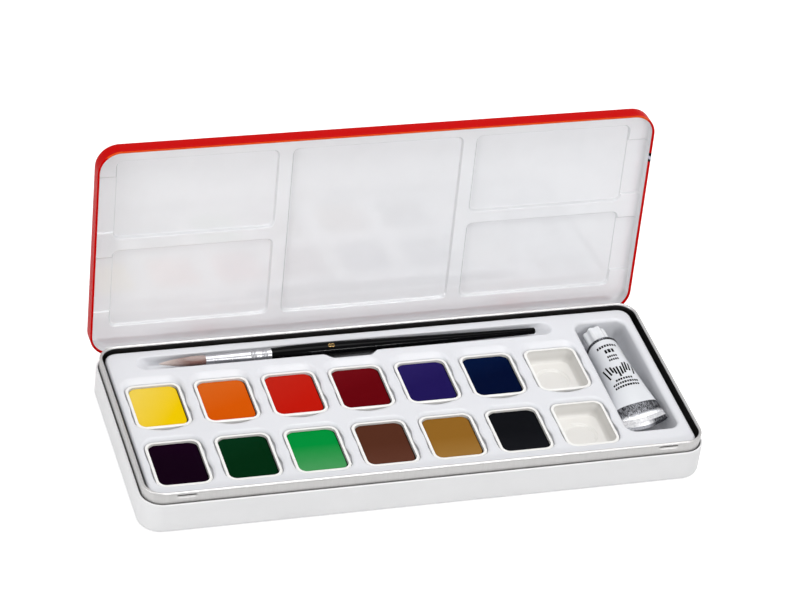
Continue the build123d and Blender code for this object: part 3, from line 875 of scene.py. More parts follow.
def tray_lines():
    """Shared x and y places of the cells that tile the tray's top."""
    walls = np.concatenate([[-FLAT_HALF[0]], (COLUMNS[1:] + COLUMNS[:-1]) / 2, [RIGHT_LAND, FLAT_HALF[0]]])
    across = [np.linspace(low, high, CELL_STEPS + 1) for low, high in zip(walls[:-1], walls[1:])]
    along = [np.linspace(-FLAT_HALF[1], MID_LAND, CELL_STEPS + 1),
             np.linspace(MID_LAND, REAR_LAND, CELL_STEPS + 1),
             np.linspace(REAR_LAND, FLAT_HALF[1], 2 * HALF_ARC + 1)]
    return across, along


def joined_lines(lines):
    """Several grid lines as one, with shared ends kept once."""
    return np.concatenate([line[:-1] for line in lines[:-1]] + [lines[-1]])


def cell_loop(across, along):
    """Loop round a cell, with points at the tray's corners pulled in to the corner arc."""
    nearest, away = from_core(rim_loop(across, along), FLAT_HALF, FLAT_CORNER)
    reach = np.hypot(*away.T)[:, None]
    return nearest + away * np.where(reach > FLAT_CORNER, FLAT_CORNER / np.maximum(reach, 1e-9), 1.0)


def pocket(cell, outline, floor, lip, spread, fillet, draft, shelf=()):
    """Rows from a cell's edge over a rounded lip, down a sloped wall to a rounded floor.

    The lip is a quarter of an ellipse, as high as lip and as wide as spread. outline(offset, drop)
    is the pocket's edge grown by offset, at a depth of drop. A shelf is given as (offset, drop)
    rows part of the way down.
    """
    start, depth = outline(spread, 0.0), TRAY_TOP - floor
    profile = [(spread * side, lip * down) for side, down in bends(0, 76, 8)]
    profile += shelf or [(-draft * share, share * depth) for share in (0.3, 0.5, 0.7)]
    profile += [(-draft - fillet * side, depth - fillet * up) for up, side in bends(0, 90, 6)]
    rows = [level(cell + share * (start - cell), TRAY_TOP) for share in (0.0, 0.5, 0.97)]
    return np.array(rows + [level(outline(offset, drop), TRAY_TOP - drop) for offset, drop in profile])


def pan_outline(x, y):
    """Edge of a pan's well: a rounded rectangle with waves, a sloped ledge and a crescent."""
    radius = (CRESCENT_WIDTH ** 2 / 4 + CRESCENT_REACH ** 2) / (2 * CRESCENT_REACH)
    centre = -WELL_HALF[1] - CRESCENT_REACH + radius
    straight = WELL_HALF[1] - WELL_ROUND
    limit = min(LIP_LIMIT, x + FLAT_HALF[0] - 0.08)

    def outline(offset, drop):
        across, along = rounded_loop(WELL_HALF + offset, WELL_ROUND + offset, **PAN_STEPS).T
        side = smooth_step((np.abs(across) - 10) / 3.5)
        wave = (WAVE_REACH * np.exp(-((np.abs(along) - 6.5) / 3) ** 2)
                - NUB_REACH * np.exp(-(along / 2.4) ** 2))
        wave *= (1 + 0.6 * max(offset, 0) / LIP_SPREAD) * np.where(across < 0, 0.4, 1.0)
        bent = across + np.sign(across) * side * wave * (drop < SHELF_DROP - 0.03)
        ledge = LEDGE_REACH[y] * np.clip(1 - drop / LEDGE_DROP, 0, 1) - 0.55 * max(offset, 0)
        moved = along + ledge * np.clip(along / straight, 0, 1)
        left = np.clip(1 - drop / CRESCENT_SLOPE, 0, 1)
        if y == ROW_REAR and left > 0:
            narrow = radius + offset - 2.6 * (1 - left)
            circle = centre - np.sqrt(np.maximum(narrow ** 2 - across ** 2, 0.01))
            lower = 0.5 * (along + circle - np.hypot(along - circle, 0.5)) + 0.02
            moved = np.where(along < -straight + 0.1, np.minimum(lower, along), moved)
        return np.column_stack([np.clip(bent, -limit, limit) + x, moved + y])

    return outline


def groove_outline(offset, drop):
    """Edge of the brush groove: a slot with ramped ends, and the finger notch as an eased bulge."""
    middle = (GROOVE_ENDS[0] + GROOVE_ENDS[1]) / 2
    half = np.array([(GROOVE_ENDS[1] - GROOVE_ENDS[0]) / 2, GROOVE_HALF_WIDTH]) + offset
    half[0] -= GROOVE_RAMP * drop
    loop = rounded_loop(half, half[1], **GROOVE_STEPS) + np.array([middle, GROOVE_Y])
    away = np.abs(loop[:, 0] - NOTCH_X)
    notch = NOTCH_REACH * smooth_step((NOTCH_HALF + NOTCH_EASE / 2 - away) / NOTCH_EASE)
    loop[:, 1] -= np.where(loop[:, 1] < GROOVE_Y, notch, 0)
    return loop


def recess_outline(offset, drop):
    """Edge of the tube recess, the same at every depth."""
    return rounded_loop(RECESS_HALF + offset, RECESS_CORNER + offset, **RECESS_STEPS) + RECESS_PLACE


class PAINTBOX_OT_tray(Operator):
    """Tray: cells tile its top, and each cell runs over a soft lip down into its pocket"""
    bl_idname = "paintbox.tray"
    bl_label = "Lift-out tray"

    def execute(self, context):
        across, along = tray_lines()
        parts = []
        for column, x in enumerate(COLUMNS):
            for row, y in enumerate((ROW_FRONT, ROW_REAR)):
                cell = cell_loop(across[column], along[row])
                rows = pocket(cell, pan_outline(x, y), WELL_FLOOR, lip=WELL_LIP, spread=LIP_SPREAD,
                              fillet=1.0, draft=PAN_DRAFT, shelf=SHELF_ROWS)
                parts.append(surface(rows, last=True))
        cell = cell_loop(joined_lines(across[:7]), along[2])
        rows = pocket(cell, groove_outline, GROOVE_FLOOR, lip=0.7, spread=0.7, fillet=1.2, draft=0.7)
        spine = rows[-1:].copy()
        spine[..., 0] = np.clip(spine[..., 0], GROOVE_ENDS[0] + GROOVE_HALF_WIDTH,
                                GROOVE_ENDS[1] - GROOVE_HALF_WIDTH)
        spine[..., 1] = GROOVE_Y
        parts.append(surface(np.concatenate([rows, spine])))
        cell = cell_loop(across[7], joined_lines(along))
        rows = pocket(cell, recess_outline, RECESS_FLOOR, lip=2.0, spread=2.2, fillet=3.4, draft=1.2)
        parts.append(surface(rows, last=True))
        parts.append(surface(self.skirt(cell_loop(joined_lines(across), joined_lines(along)))))
        # painted shade: greys the steep walls of the pockets and the tray's edge
        plastic = moulded("tray_plastic", context.scene.paintbox_tray.tray_colour, 0.36, grain=0.003,
                          painted_shade=0.22, start=0.25)
        mesh = mark_bends(make_mesh("tray", parts, outward=False), (0, 0, 1))
        piece = add_piece("lift_out_tray", mesh, plastic, "tray", ["insert_tray"], crease=75)
        thicken(piece, TRAY_SHEET)
        return {"FINISHED"}

    def skirt(self, edge):
        """Rows from the foot up the outer wall, which bulges at two tabs behind, over its rounded edge."""
        direction = from_core(edge, FLAT_HALF, FLAT_CORNER)[1] / FLAT_CORNER
        profile = [(TRAY_EDGE * sin(angle), TRAY_TOP - TRAY_EDGE * (1 - cos(angle)))
                   for angle in turns(0, 90, 8)]
        rows = []
        for growth, height in profile + [(TRAY_EDGE, 12.0), (TRAY_EDGE, TRAY_FOOT)]:
            ring = edge + direction * growth
            near_tab = smooth_step((TAB_LENGTH / 2 + 1.5 - np.abs(np.abs(ring[:, 0]) - TAB_X)) / 3)
            low = smooth_step((TRAY_TOP - height) / TRAY_EDGE) * (height > TRAY_TOP - 4)
            ring[:, 1] += (ring[:, 1] > 0) * TAB_BULGE * near_tab * low
            rows.append(level(ring, height))
        return np.array(rows[::-1])


# ---- Pans and paint

PAN_LOOP = {"half_arc": 5, "across": 8, "along": 8}
PAN_PLACES = {name: np.array([x, y]) for y, names in ((ROW_REAR, REAR_PANS), (ROW_FRONT, FRONT_PANS))
              for x, name in zip(COLUMNS, names)}


def pan_rows(rows, place, narrow=0.0):
    """Stacked loops: each row is a pan's rectangle less an inset, with a corner, at a height."""
    return np.array([level(rounded_loop(PAN_HALF - inset - (narrow, 0), corner, **PAN_LOOP) + place, height)
                     for inset, corner, height in rows])


def pan_profile():
    """Insets, corners and heights from the outer foot over the rim down to the floor."""
    under, floor = PAN_TOP - PAN_RIM_HEIGHT, PAN_TOP - PAN_CAVITY
    foot, edge, lip, fillet = 0.5, 0.42, 0.3, 1.1
    rows = [(PAN_LIP + PAN_DRAFT + foot * side, 3.4 - foot * side, PAN_BOTTOM + foot * up)
            for side, up in bends(0, 90, 4)]
    rows += [(PAN_LIP, PAN_CORNER - PAN_LIP, under - 0.1), (0.1, PAN_CORNER - 0.1, under)]
    rows += [(edge * side, PAN_CORNER - edge * side, PAN_TOP - edge * down)
             for down, side in bends(0, 90, 6)]
    for angle in turns(90, 10, 5):
        inset = PAN_RIM - lip * cos(angle)
        rows.append((inset, PAN_CORNER - inset + 0.35, PAN_TOP - lip * (1 - sin(angle))))
    rows += [(PAN_RIM + PAN_DRAFT * share, 3.5 - 0.3 * share, PAN_TOP - PAN_CAVITY * share)
             for share in (0.25, 0.6, 0.84)]
    rows += [(PAN_RIM + PAN_DRAFT + fillet * side, 3.3 - fillet * side, floor + fillet * up)
             for up, side in bends(15, 90, 5)]
    return rows


def disc_rows(place):
    """Circles of the two-step disc in a pan's floor, with as many points as the pan's loops."""
    loop = rounded_loop(PAN_HALF, PAN_CORNER, **PAN_LOOP) - DISC_SHIFT
    angle = np.arctan2(loop[:, 1], loop[:, 0])
    circle = np.column_stack([np.cos(angle), np.sin(angle)])
    steps = ((1.4, 0.0), (1.1, 0.0), (0.97, 0.04), (0.62, 0.41), (0.5, 0.45), (0.0, 0.45), (-0.12, 0.49),
             (-0.45, 0.86), (-0.58, 0.9), (-1.0, 0.9))
    return np.array([level((DISC_RADIUS + growth) * circle + place + DISC_SHIFT,
                           PAN_TOP - PAN_CAVITY - drop) for growth, drop in steps])


PAINTS = {
    # colour, dusty colour, where the dust starts and ends from the pan's middle
    "yellow": ((234, 195, 0), (232, 205, 96), (6, -6), (-18, 10)),
    "orange": ((208, 84, 2), (206, 104, 40), (2, -4), (-10, 26)),
    "red": ((186, 22, 8), (182, 40, 28), (4, -6), (-12, 24)),
    "carmine": ((98, 2, 10), (112, 14, 22), (0, 0), (-10, 24)),
    "violet": ((30, 20, 82), (44, 34, 96), (0, 0), (-10, 24)),
    "navy": ((0, 10, 44), (4, 26, 66), (0, 0), (-10, 30)),
    "purple": ((16, 0, 16), (24, 0, 24), (0, 0), (10, 30)),
    "dark_green": ((0, 40, 14), (6, 52, 28), (0, 0), (-10, 30)),
    "green": ((0, 138, 56), (84, 152, 98), (0, 4), (0, -19)),
    "brown": ((82, 44, 30), (100, 62, 50), (0, 0), (0, -30)),
    "ochre": ((140, 96, 34), (160, 122, 66), (0, 0), (0, -24)),
    "black": ((15, 16, 20), (28, 29, 33), (0, 0), (0, -30)),
}


class PAINTBOX_OT_pans(Operator):
    """Pans: stacked rounded rectangles, over the rim and down to a disc in the floor"""
    bl_idname = "paintbox.pans"
    bl_label = "Pans"

    def execute(self, context):
        # painted shade: greys the steep walls of each pan and the steps of its disc
        plastic = moulded("pan_plastic", context.scene.paintbox_tray.pan_colour, 0.34, grain=0.002,
                          painted_shade=0.26, start=0.08)
        # painted highlight: the top of each rim is painted lighter than the rest of the pan
        rim = plastic.ranged(plastic.axes()[2], (PAN_TOP - 0.6) * MM, (PAN_TOP - 0.1) * MM)
        plastic.over(rim, srgb(240, 239, 236))
        for name, place in PAN_PLACES.items():
            rows = np.concatenate([pan_rows(pan_profile(), place), disc_rows(place)])
            mesh = mark_bends(closed_mesh("pan_" + name, rows), (0, 0, 1))
            add_piece("cup_" + name, mesh, plastic, "pan_" + name, ["pan_" + name])
        return {"FINISHED"}


class PAINTBOX_OT_paints(Operator):
    """Paint cakes: a flat top with a rounded edge inside each pan, down to its floor"""
    bl_idname = "paintbox.paints"
    bl_label = "Paint cakes"

    def execute(self, context):
        for name, (colour, pale, fade_from, fade_to) in PAINTS.items():
            top = PAN_TOP - context.scene.paintbox_tray.paint_drop / MM
            place = PAN_PLACES[name] - (PAINT_SHRINK / 2, 0)
            paint = pressed_paint("gouache_" + name, srgb(*colour), srgb(*pale), fade_from, fade_to,
                                  place, top)
            mesh = closed_mesh("cake_" + name, self.cake(PAN_PLACES[name], place, top))
            add_piece("cake_" + name, mesh, paint, "pan_" + name, ["paint_" + name])
        return {"FINISHED"}

    def cake(self, pan, place, top):
        """One cake: fills the cavity, then a ledge where it dried away from the right, painted dark as shade
        by its finish, and its top.
        """
        edge, drop = 0.32, PAN_TOP - top
        foot = [(PAN_RIM + PAN_DRAFT * share + 0.02, 3.45 - 0.3 * share, PAN_TOP - PAN_CAVITY * share)
                for share in (0.98, 0.5, (drop + edge + 0.1) / PAN_CAVITY)]
        wall = PAN_RIM + PAN_DRAFT * (drop + edge) / PAN_CAVITY + 0.02
        rows = [(foot[-1][0], 3.4, top - edge - 0.08)]
        rows += [(wall + edge * side, 3.9 - edge * side, top - edge * down)
                 for down, side in bends(15, 90, 6)]
        for inset in (0.4, 2.0, 6.0):
            inset += wall + edge
            rows.append((inset, max(3.5 - inset / 4, 0.5), top))
        return np.concatenate([pan_rows(foot, pan), pan_rows(rows, place, PAINT_SHRINK / 2)])


# ---- Brush

def handle_radius(along):
    """Radius of the handle: an eased rise to its belly, then a long taper to its end."""
    places = [0.0, 0.06, 0.13, 0.2, 0.27, 0.4, 0.6, 0.8, 0.97, 1.0]
    radii = [FERRULE_HEEL, 3.28, 3.55, HANDLE_RADIUS, 3.52, 3.1, 2.45, 1.95, HANDLE_END + 0.1, HANDLE_END]
    dense = np.interp(np.linspace(0, 1, 400), places, radii)
    kernel = np.hanning(31) / np.hanning(31).sum()
    eased = np.convolve(np.pad(dense, 15, mode="edge"), kernel, "valid")
    return np.interp(along / HANDLE_LENGTH, np.linspace(0, 1, 400), eased)


class PAINTBOX_OT_brush(Operator):
    """Brush: hair, ferrule and handle turned about one axis, with a size number on the handle"""
    bl_idname = "paintbox.brush"
    bl_label = "Brush"

    def execute(self, context):
        settings = context.scene.paintbox_tools
        self.hair(settings)
        self.ferrule()
        self.handle(settings)
        self.number()
        return {"FINISHED"}

    def add(self, name, mesh_name, node, slot, along, radius, finish, count, strands=None):
        """Adds a piece turned about the brush's axis."""
        mesh = make_mesh(mesh_name, [surface(turned(along, radius, BRUSH_PLACE, count, strands))])
        add_piece(name, mesh, finish, "brush", [node])

    def hair(self, settings):
        """Round head: radius rises as the sine of the share of its length, ribbed by fine strands."""
        share = np.linspace(0, 1, 60)
        radius = (FERRULE_MOUTH + 0.05) * np.sin(np.clip(share * 1.12, 0, 1) * pi / 2) ** 0.72
        radius = radius * (1 - 0.08 * smooth_step((share - 0.86) / 0.14))

        def strands(along, angle):
            drift = 0.35 * np.sin(along * 0.21 + 3 * angle)
            return 1 + 0.014 * (np.sin(46 * angle + 5 * drift) + np.sin(29 * angle - 4 * drift + 1.3))

        fibre = Finish("brush_hair", settings.hair_colour, 0.3, Specular_IOR_Level=0.5, Sheen_Weight=0.25,
                       Sheen_Roughness=0.4)
        streaks = fibre.noise((60, 4200, 4200), 4.0, 0.65)
        dark = fibre.blend(fibre.ranged(streaks, 0.34, 0.66), fibre.colour * 0.45, fibre.colour * 1.45)
        x, _, z = fibre.axes()
        tip = fibre.ranged(x, (BRUSH_PLACE[0] + 15.0) * MM, (BRUSH_PLACE[0] + 2.0) * MM, 0.0, 0.8)
        # painted sheen: the top of the head is lightened by height; the pale tip is the hair's own colour
        painted_sheen = fibre.ranged(z, (BRUSH_PLACE[2] + 1.0) * MM, (BRUSH_PLACE[2] + 2.3) * MM, 0.0, 0.4)
        fibre.set(Base_Color=fibre.blend(fibre.math("MAXIMUM", tip, painted_sheen), dark, srgb(222, 208, 202)))
        fibre.bump(streaks, 0.12)
        self.add("round_hair", "hair", "brush_hair", "hair_brown",
                 np.append(share * HAIR_LENGTH, [HAIR_LENGTH + 2.0] * 2),
                 np.append(radius, [FERRULE_MOUTH - 0.4, 0.0]), fibre, count=184, strands=strands)

    def ferrule(self):
        """Metal sleeve: a cone with two pairs of rings, each a shallow cosine groove."""
        along = np.linspace(0, FERRULE_LENGTH, 150)
        radius = FERRULE_MOUTH + (FERRULE_HEEL - FERRULE_MOUTH) * np.clip(along / (FERRULE_LENGTH - 13), 0, 1)
        for ring in (9.9, 8.5, 4.4, 3.0):
            away = np.clip((along - FERRULE_LENGTH + ring) / 0.65, -1, 1)
            radius = radius - 0.2 * np.cos(away * pi / 2) ** 2
        metal = Finish("ferrule_nickel", srgb(188, 188, 192), 0.3, Metallic=1.0)
        rings = metal.noise((3000, 40, 40))
        metal.bump(rings, 0.004)
        metal.relief((70, 300, 300), 0.02)
        metal.rough(rings, 0.26, 0.36)
        metal.shade(metal.noise((150, 300, 300), 4.0), 0.35, 0.6, 0.9)
        self.add("nickel_ferrule", "ferrule", "brush_ferrule", "ferrule_metal",
                 np.concatenate([[0.3, 0.0], along, [FERRULE_LENGTH, FERRULE_LENGTH - 1.0]]) + HAIR_LENGTH,
                 np.concatenate([[FERRULE_MOUTH - 0.3, FERRULE_MOUTH - 0.12], radius,
                                 [FERRULE_HEEL - 0.2, FERRULE_HEEL - 0.3]]), metal, count=64)

    def handle(self, settings):
        """Lacquered wood: the handle's radius, closed by a quarter ellipse at its end."""
        along = np.linspace(0, HANDLE_LENGTH - 0.8, 110)
        radius = handle_radius(along)
        ends = np.array([0.35, 0.6, 0.8])
        along = np.concatenate([[-3.0, -3.0], along, HANDLE_LENGTH - 0.8 + ends, [HANDLE_LENGTH]])
        radius = np.concatenate([[0.0, FERRULE_HEEL - 0.4], radius,
                                 radius[-1] * np.sqrt(1 - (ends / 0.82) ** 2), [0.0]])
        wood = Finish("handle_lacquer", settings.handle_colour, 0.09, Specular_IOR_Level=0.05)
        wood.relief((35, 300, 300), 0.004, 1.0)
        wood.shade(wood.noise((60, 900, 900), 4.0), 0.3, 0.7, 0.5)
        self.add("lacquered_handle", "handle", "brush_handle", "handle_black",
                 HANDLE_START + along, radius, wood, count=56)

    def number(self):
        """Size number: flat letters laid round the handle, its height turned into an angle."""
        curve = bpy.data.curves.new("size_number", "FONT")
        curve.body, curve.size = "8", 4.6
        curve.align_x = curve.align_y = "CENTER"
        text = put_in_scene("size_number", curve)
        mesh = baked(text)
        bpy.data.objects.remove(text)
        flat = read_vectors(mesh.vertices, "co")
        along = NUMBER_PLACE - flat[:, 1]
        radius = handle_radius(along) + 0.03
        angle = radians(112) - flat[:, 0] / radius
        points = np.column_stack([HANDLE_START + along, radius * np.cos(angle), radius * np.sin(angle)])
        points = points + BRUSH_PLACE
        mesh.vertices.foreach_set("co", (points * MM).ravel())
        gold = Finish("gold_print", srgb(206, 168, 104), 0.35, Metallic=0.8)
        gold.relief(2500, 0.004, 2.0)
        thicken(add_piece("size_number", mesh, gold, "brush", ()), PRINT_SHEET)


# ---- Tube

def tube_frame(points):
    """Tube-local millimetres to the box: roll about the tube's length, turn, and place."""
    return (points - TUBE_MIDDLE) @ TUBE_TURN.T + TUBE_PLACE


def to_tube(points):
    """Box metres back to tube-local millimetres."""
    return (points / MM - TUBE_PLACE) @ TUBE_TURN + TUBE_MIDDLE


def tube_skin(angle, along, lift=0.0):
    """Tube from a flat fold to a round shoulder: an ellipse whose height grows with an eased sine.

    A band at the end is folded over, and the bare end is faintly creased along its length.
    """
    share = np.clip((along - FOLD_LENGTH) / (0.86 * TUBE_LENGTH - FOLD_LENGTH), 0, 1)
    width = FOLD_HALF_WIDTH + (TUBE_RADIUS - FOLD_HALF_WIDTH) * smooth_step(share)
    flat = FOLD_HALF_HEIGHT + 0.5 * (1 - smooth_step((along - FOLD_BAND) / 0.4))
    height = flat + (TUBE_RADIUS - FOLD_HALF_HEIGHT) * np.sin(share * pi / 2) ** 0.9
    square = 1 - 0.45 * (1 - smooth_step(share * 3))
    crease = np.clip((BARE_LENGTH + 1.0 - along) / 4.5, 0, 1) * np.clip((along - FOLD_BAND) / 1.5, 0, 1)
    wave = 24 * angle + 1.2 * np.sin(along * 0.7 + 2 * angle)
    ripple = 0.5 * np.sin(wave) + 0.35 * np.sin(2.3 * wave + 1.1) + 0.3 * np.sin(0.37 * wave)
    dent = 0.1 * np.sin(along * 0.16 + 1.2 + 2 * angle) * np.sin(share * pi)
    grow = lift + 0.045 * crease * ripple + dent
    side, up = np.cos(angle), np.sin(angle)
    x = (width + grow) * np.sign(side) * np.abs(side) ** square
    z = (height + grow) * np.sign(up) * np.abs(up) ** square
    return np.stack([x, along + 0 * angle, z], -1)


class PAINTBOX_OT_tube(Operator):
    """Tube: a flat fold that grows round, a shoulder, a nozzle and plain printed bars"""
    bl_idname = "paintbox.tube"
    bl_label = "Tube"

    def execute(self, context):
        angle = np.linspace(0, 2 * pi, 300, endpoint=False)
        along = np.append(np.linspace(0, BARE_LENGTH, 60), np.linspace(BARE_LENGTH, TUBE_LENGTH, 50)[1:])
        skin = tube_skin(angle, along[:, None])
        curl = 2.4 * (skin[..., 0] / FOLD_HALF_WIDTH) ** 2 * np.clip(1 - skin[..., 1] / 16, 0, 1) ** 2
        skin[..., 2] += curl - 1.2 * np.clip(1 - skin[..., 1] / 10, 0, 1) ** 2
        shoulder = np.concatenate([
            arc((TUBE_RADIUS - 0.1, 0.35), 0.45, -80, 100, 8),
            [(6.4, 1.0), (4.6, COLLAR_HEIGHT), (NOZZLE_RADIUS, COLLAR_HEIGHT + 0.1),
             (NOZZLE_RADIUS, 8.5), (NOZZLE_BORE, 8.5), (NOZZLE_BORE, 4)]])
        rows = about_y(shoulder[:, :1], TUBE_LENGTH + shoulder[:, 1:], angle)
        mesh = closed_mesh("tube", tube_frame(np.concatenate([skin, rows])))
        place = to_tube(read_vectors(mesh.vertices, "co"))
        mesh.attributes.new("tube_place", "FLOAT_VECTOR", "POINT").data.foreach_set("vector", place.ravel())
        lacquer = Finish("tube_lacquer", context.scene.paintbox_tools.tube_colour, 0.25)
        lacquer.relief(60, 0.12, 2.0)
        lacquer.relief(700, 0.004, 2.0)
        lacquer.shade(lacquer.noise(90, 4.0), 0.3, 0.65, 0.965)
        along = to_tube(read_vectors(mesh.polygons, "center"))[:, 1]
        bare = (along < BARE_LENGTH) | (along > TUBE_LENGTH - BARE_RIM)
        add_piece("folded_tube", mesh, lacquer, "tube", ["tube_body"],
                  second=(self.foil(), bare))
        self.printing()
        return {"FINISHED"}

    def foil(self):
        """Bare aluminium: painted shade in dark streaks along the tube where it is creased and on one side of
        the folded band, bright where it is flat.
        """
        foil = Finish("bare_foil", srgb(232, 232, 234), 0.22, Metallic=1.0)
        foil.place = foil.node("Attribute", {"attribute_name": "tube_place"}).outputs["Vector"]
        across, along = foil.axes()[:2]
        streaks = foil.noise((2.6, 0.2, 2.6), 4.0, 0.65)
        blots = foil.noise((1.1, 0.7, 1.1))
        ragged = foil.math("MULTIPLY_ADD", streaks, 6.0, along)
        # painted shade: the creased band is darkened in streaks along the tube
        creased = foil.ranged(ragged, 0.36 * BARE_LENGTH + 3.0, 0.56 * BARE_LENGTH + 3.0)
        # painted shade: the folded band at the end is darkened on its right side
        folded = foil.math("MULTIPLY", foil.ranged(along, FOLD_BAND + 0.1, FOLD_BAND - 0.3),
                           foil.ranged(across, 1.0, 5.0))
        dark = foil.blend(foil.ranged(streaks, 0.42, 0.62), srgb(16, 17, 20), srgb(134, 135, 140))
        light = foil.blend(foil.ranged(blots, 0.3, 0.6), srgb(206, 207, 211), srgb(240, 240, 242))
        foil.set(Base_Color=foil.blend(foil.math("MAXIMUM", creased, folded), light, dark))
        foil.bump(streaks, 0.05)
        foil.rough(streaks, 0.28, 0.42)
        return foil

    def printing(self):
        """Printed marks: rows of short bars and a fan of strokes, laid on the tube's skin."""
        generator = np.random.default_rng(4)
        marks = []
        for along, height, half, bars in PRINT_ROWS:
            ends = np.linspace(-half, half, bars + 1)
            for low, high in zip(ends[:-1], ends[1:]):
                trim = (high - low) * (0.07 + 0.12 * generator.random(2))
                marks.append((low + trim[0], high - trim[1], along, along + height, 0.0))
        for index, low in enumerate(np.linspace(-6.0, 5.2, 10)):
            length = 3.8 + 4.2 * generator.random()
            middle = 35.2 + 1.4 * sin(index * 1.1)
            lean = 0.3 * (index - 4.5) / 4.5
            marks.append((low, low + 0.85, middle - length / 2, middle + length / 2, lean))
        parts = []
        for left, right, low, high, lean in marks:
            along = np.linspace(low, high, 5)[:, None]
            across = np.linspace(left, right, 3) + lean * (along - low)
            skin = tube_skin(pi / 2 - across / TUBE_RADIUS, along, 0.04)
            parts.append(surface(tube_frame(skin), closed=False))
        ink = Finish("black_print", srgb(10, 10, 12), 0.4, Specular_IOR_Level=0.1)
        ink.relief(2500, 0.004, 2.0)
        ink.shade(ink.noise(900), 0.35, 0.6, 0.7)
        mesh = make_mesh("printing", parts, outward=False)
        thicken(add_piece("tube_printing", mesh, ink, "tube", ()), PRINT_SHEET)


class PAINTBOX_OT_cap(Operator):
    """Cap: an eight-sided surface turned about the tube's axis, hollow, with a rounded end"""
    bl_idname = "paintbox.cap"
    bl_label = "Screw cap"

    def execute(self, context):
        angle = np.linspace(0, 2 * pi, 192, endpoint=False)
        eighth = (angle + pi / 8) % (pi / 4) - pi / 8
        corner = np.abs(eighth) / (pi / 8)
        flats = (CAP_RADIUS * cos(pi / 8) / np.cos(eighth) - 0.16 * smooth_step((corner - 0.84) / 0.16)
                 - 0.34 * (1 - smooth_step(corner * 1.25)))
        mouth = TUBE_LENGTH + COLLAR_HEIGHT
        start, end = mouth + 0.2, mouth + CAP_LENGTH
        inset, along = np.array([
            (-1.9, start + 7.4), (-1.9, start), (-0.5, start), (-0.15, start + 0.15), (0.0, start + 0.5),
            (0.0, end - 1.0), (-0.1, end - 0.6), (-0.45, end - 0.2), (-0.9, end), (-1.6, end),
            (-1.9, end - 0.25), (-4.2, end - 0.25)]).T[..., None]
        round_share = smooth_step((-inset - 0.3) / 1.2)
        radius = inset + flats * (1 - round_share) + 0.95 * CAP_RADIUS * round_share
        plastic = Finish("cap_plastic", srgb(236, 238, 241), 0.16, Transmission_Weight=0.06, IOR=1.49,
                         Subsurface_Weight=0.15, Subsurface_Radius=(1, 1, 1), Subsurface_Scale=0.002)
        plastic.relief(600, 0.01, 2.0)
        plastic.rough(plastic.noise(200, 2.0), 0.12, 0.22)
        mesh = closed_mesh("cap", tube_frame(about_y(radius, along, angle)))
        add_piece("screw_cap", mesh, plastic, "tube_cap", ["tube_cap"], crease=25)
        return {"FINISHED"}


class PAINTBOX_OT_inner_parts(Operator):
    """Finishes for the solids that stay as they are: hinge pins and the paste in the tube"""
    bl_idname = "paintbox.inner_parts"
    bl_label = "Pins and paste"

    def execute(self, context):
        pin = Finish("pin_wire", srgb(150, 150, 152), 0.3, Metallic=1.0)
        pin.relief((3000, 300, 300), 0.01)
        pin.rough(pin.noise(800), 0.22, 0.42)
        paste = Finish("white_paste", srgb(246, 246, 244), 0.45)
        paste.relief(300, 0.1)
        for node, finish in (("hinge_pin_left", pin), ("hinge_pin_right", pin), ("tube_paint", paste)):
            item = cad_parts[node]
            if not item.material_slots:
                item.data.materials.append(finish.material)
            for slot in item.material_slots:
                slot.material = finish.material
        return {"FINISHED"}


# ---- Stage

CAMERA_PLACE = (-0.43694, -1.13625, 0.97425)
CAMERA_TURN = (53.2420, -6.2026, -15.9888)
CAMERA_LENS = 150.266


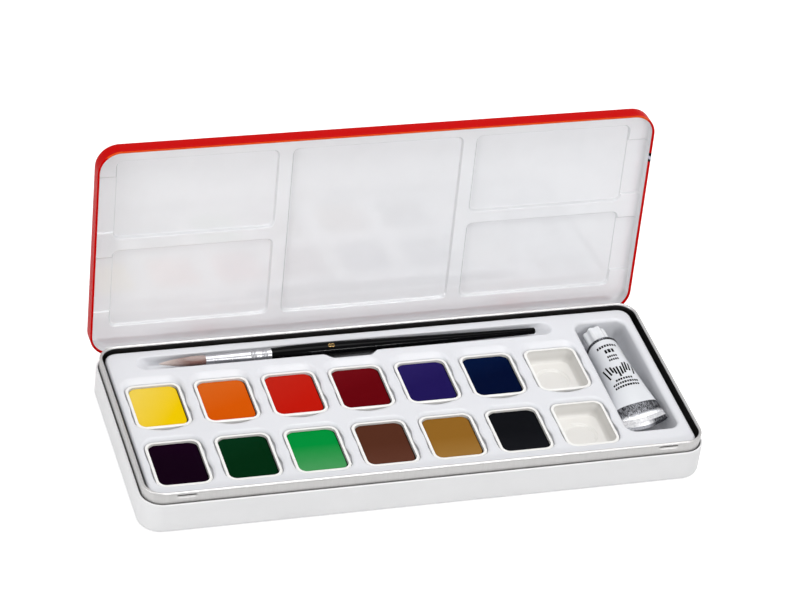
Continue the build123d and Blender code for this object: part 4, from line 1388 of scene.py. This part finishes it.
class PAINTBOX_OT_stage(Operator):
    """Stage: a pale floor, soft lamps, a white surround and the camera"""
    bl_idname = "paintbox.stage"
    bl_label = "Stage"

    def execute(self, context):
        scene = context.scene
        scene.view_settings.view_transform = "Standard"
        self.floor()
        self.world(scene)
        self.lamp("key_lamp", (0.57, -1.78, 0.71), (0.26, 0.07), 7.6)
        self.lamp("top_lamp", (0.15, -0.1, 1.4), (0.8, 0.8), 9.4)
        self.lamp("side_lamp", (-1.4, -0.4, 0.07), (0.6, 0.1), 5.5)
        data = bpy.data.cameras.new("studio_camera")
        data.lens, data.sensor_width = CAMERA_LENS, 36.0
        camera = scene.camera = put_in_scene("studio_camera", data)
        camera.location = CAMERA_PLACE
        camera.rotation_euler = [radians(value) for value in CAMERA_TURN]
        return {"FINISHED"}

    def floor(self):
        """Pale paper just under the box, that shows as white behind it."""
        side, drop = 3000.0, -0.02
        points = np.array([[(-side, y, drop), (side, y, drop)] for y in (-side, side)])
        mesh = make_mesh("floor", [surface(points, closed=False)], outward=False)
        paper = Finish("floor_paper", (0.6, 0.6, 0.6), 0.9, Specular_IOR_Level=0.1)
        paper.relief(400, 0.02)
        path = paper.node("LightPath").outputs
        mirrored = paper.math("MULTIPLY", path["Is Glossy Ray"], 0.3)
        paper.set(Emission_Color=(1, 1, 1),
                  Emission_Strength=paper.math("MULTIPLY_ADD", path["Is Camera Ray"], 0.7, mirrored))
        mesh.materials.append(paper.material)
        put_in_scene("floor", mesh)

    def world(self, scene):
        """White to the camera, to mirrors and through glass; a plain fill for everything else."""
        world = scene.world = bpy.data.worlds.new("studio")
        world.use_nodes = True
        tree = world.node_tree
        tree.nodes.clear()
        path = add_node(tree, "LightPath").outputs
        white = path["Is Camera Ray"]
        for ray in ("Is Glossy Ray", "Is Transmission Ray"):
            white = add_math(tree, "MAXIMUM", white, path[ray])
        split = add_node(tree, "SeparateXYZ", Vector=add_node(tree, "TexCoord").outputs["Generated"])
        grade = add_node(tree, "MapRange", Value=split.outputs[0], From_Min=-1.0, To_Min=0.59, To_Max=0.64)
        fill = add_node(tree, "Background", Color=(1, 1, 1), Strength=grade.outputs[0])
        seen = add_node(tree, "Background", Strength=1.0)
        mix = add_node(tree, "MixShader")
        for socket, value in zip(mix.inputs, (white, fill.outputs[0], seen.outputs[0])):
            wire(tree, socket, value)
        add_node(tree, "OutputWorld", Surface=mix.outputs[0])

    def lamp(self, name, place, size, power):
        """Soft rectangular lamp aimed at the middle of the box."""
        data = bpy.data.lights.new(name, "AREA")
        data.shape = "RECTANGLE"
        data.size, data.size_y = size
        data.energy = power
        lamp = put_in_scene(name, data)
        lamp.location = place
        lamp.rotation_euler = (atan2(hypot(*place[:2]), place[2]), 0, atan2(place[1], place[0]) + pi / 2)


class PAINTBOX_PT_panel(Panel):
    """Lists the pieces and their settings"""
    bl_idname = "PAINTBOX_PT_panel"
    bl_label = "Paint Box"
    bl_space_type = "VIEW_3D"
    bl_region_type = "UI"
    bl_category = "Paint Box"

    def draw(self, context):
        for group in SETTINGS:
            settings = getattr(context.scene, group)
            for name in settings.__annotations__:
                self.layout.prop(settings, name)
        for operator in OPERATORS:
            self.layout.operator(operator.bl_idname)


OPERATORS = (
    PAINTBOX_OT_stage, PAINTBOX_OT_base, PAINTBOX_OT_neck, PAINTBOX_OT_lid, PAINTBOX_OT_palette,
    PAINTBOX_OT_tray, PAINTBOX_OT_pans, PAINTBOX_OT_paints, PAINTBOX_OT_brush, PAINTBOX_OT_tube,
    PAINTBOX_OT_cap, PAINTBOX_OT_inner_parts,
)
SETTINGS = {"paintbox_tin": TinSettings, "paintbox_tray": TraySettings, "paintbox_tools": ToolSettings}


def register():
    for item in (*SETTINGS.values(), *OPERATORS, PAINTBOX_PT_panel):
        bpy.utils.register_class(item)
    for name, group in SETTINGS.items():
        setattr(bpy.types.Scene, name, PointerProperty(type=group))


def unregister():
    for name in SETTINGS:
        delattr(bpy.types.Scene, name)
    for item in (PAINTBOX_PT_panel, *reversed(OPERATORS), *SETTINGS.values()):
        bpy.utils.unregister_class(item)


def main():
    register()
    for operator in OPERATORS:
        group, name = operator.bl_idname.split(".")
        getattr(getattr(bpy.ops, group), name)()


if __name__ == "__main__":
    main()
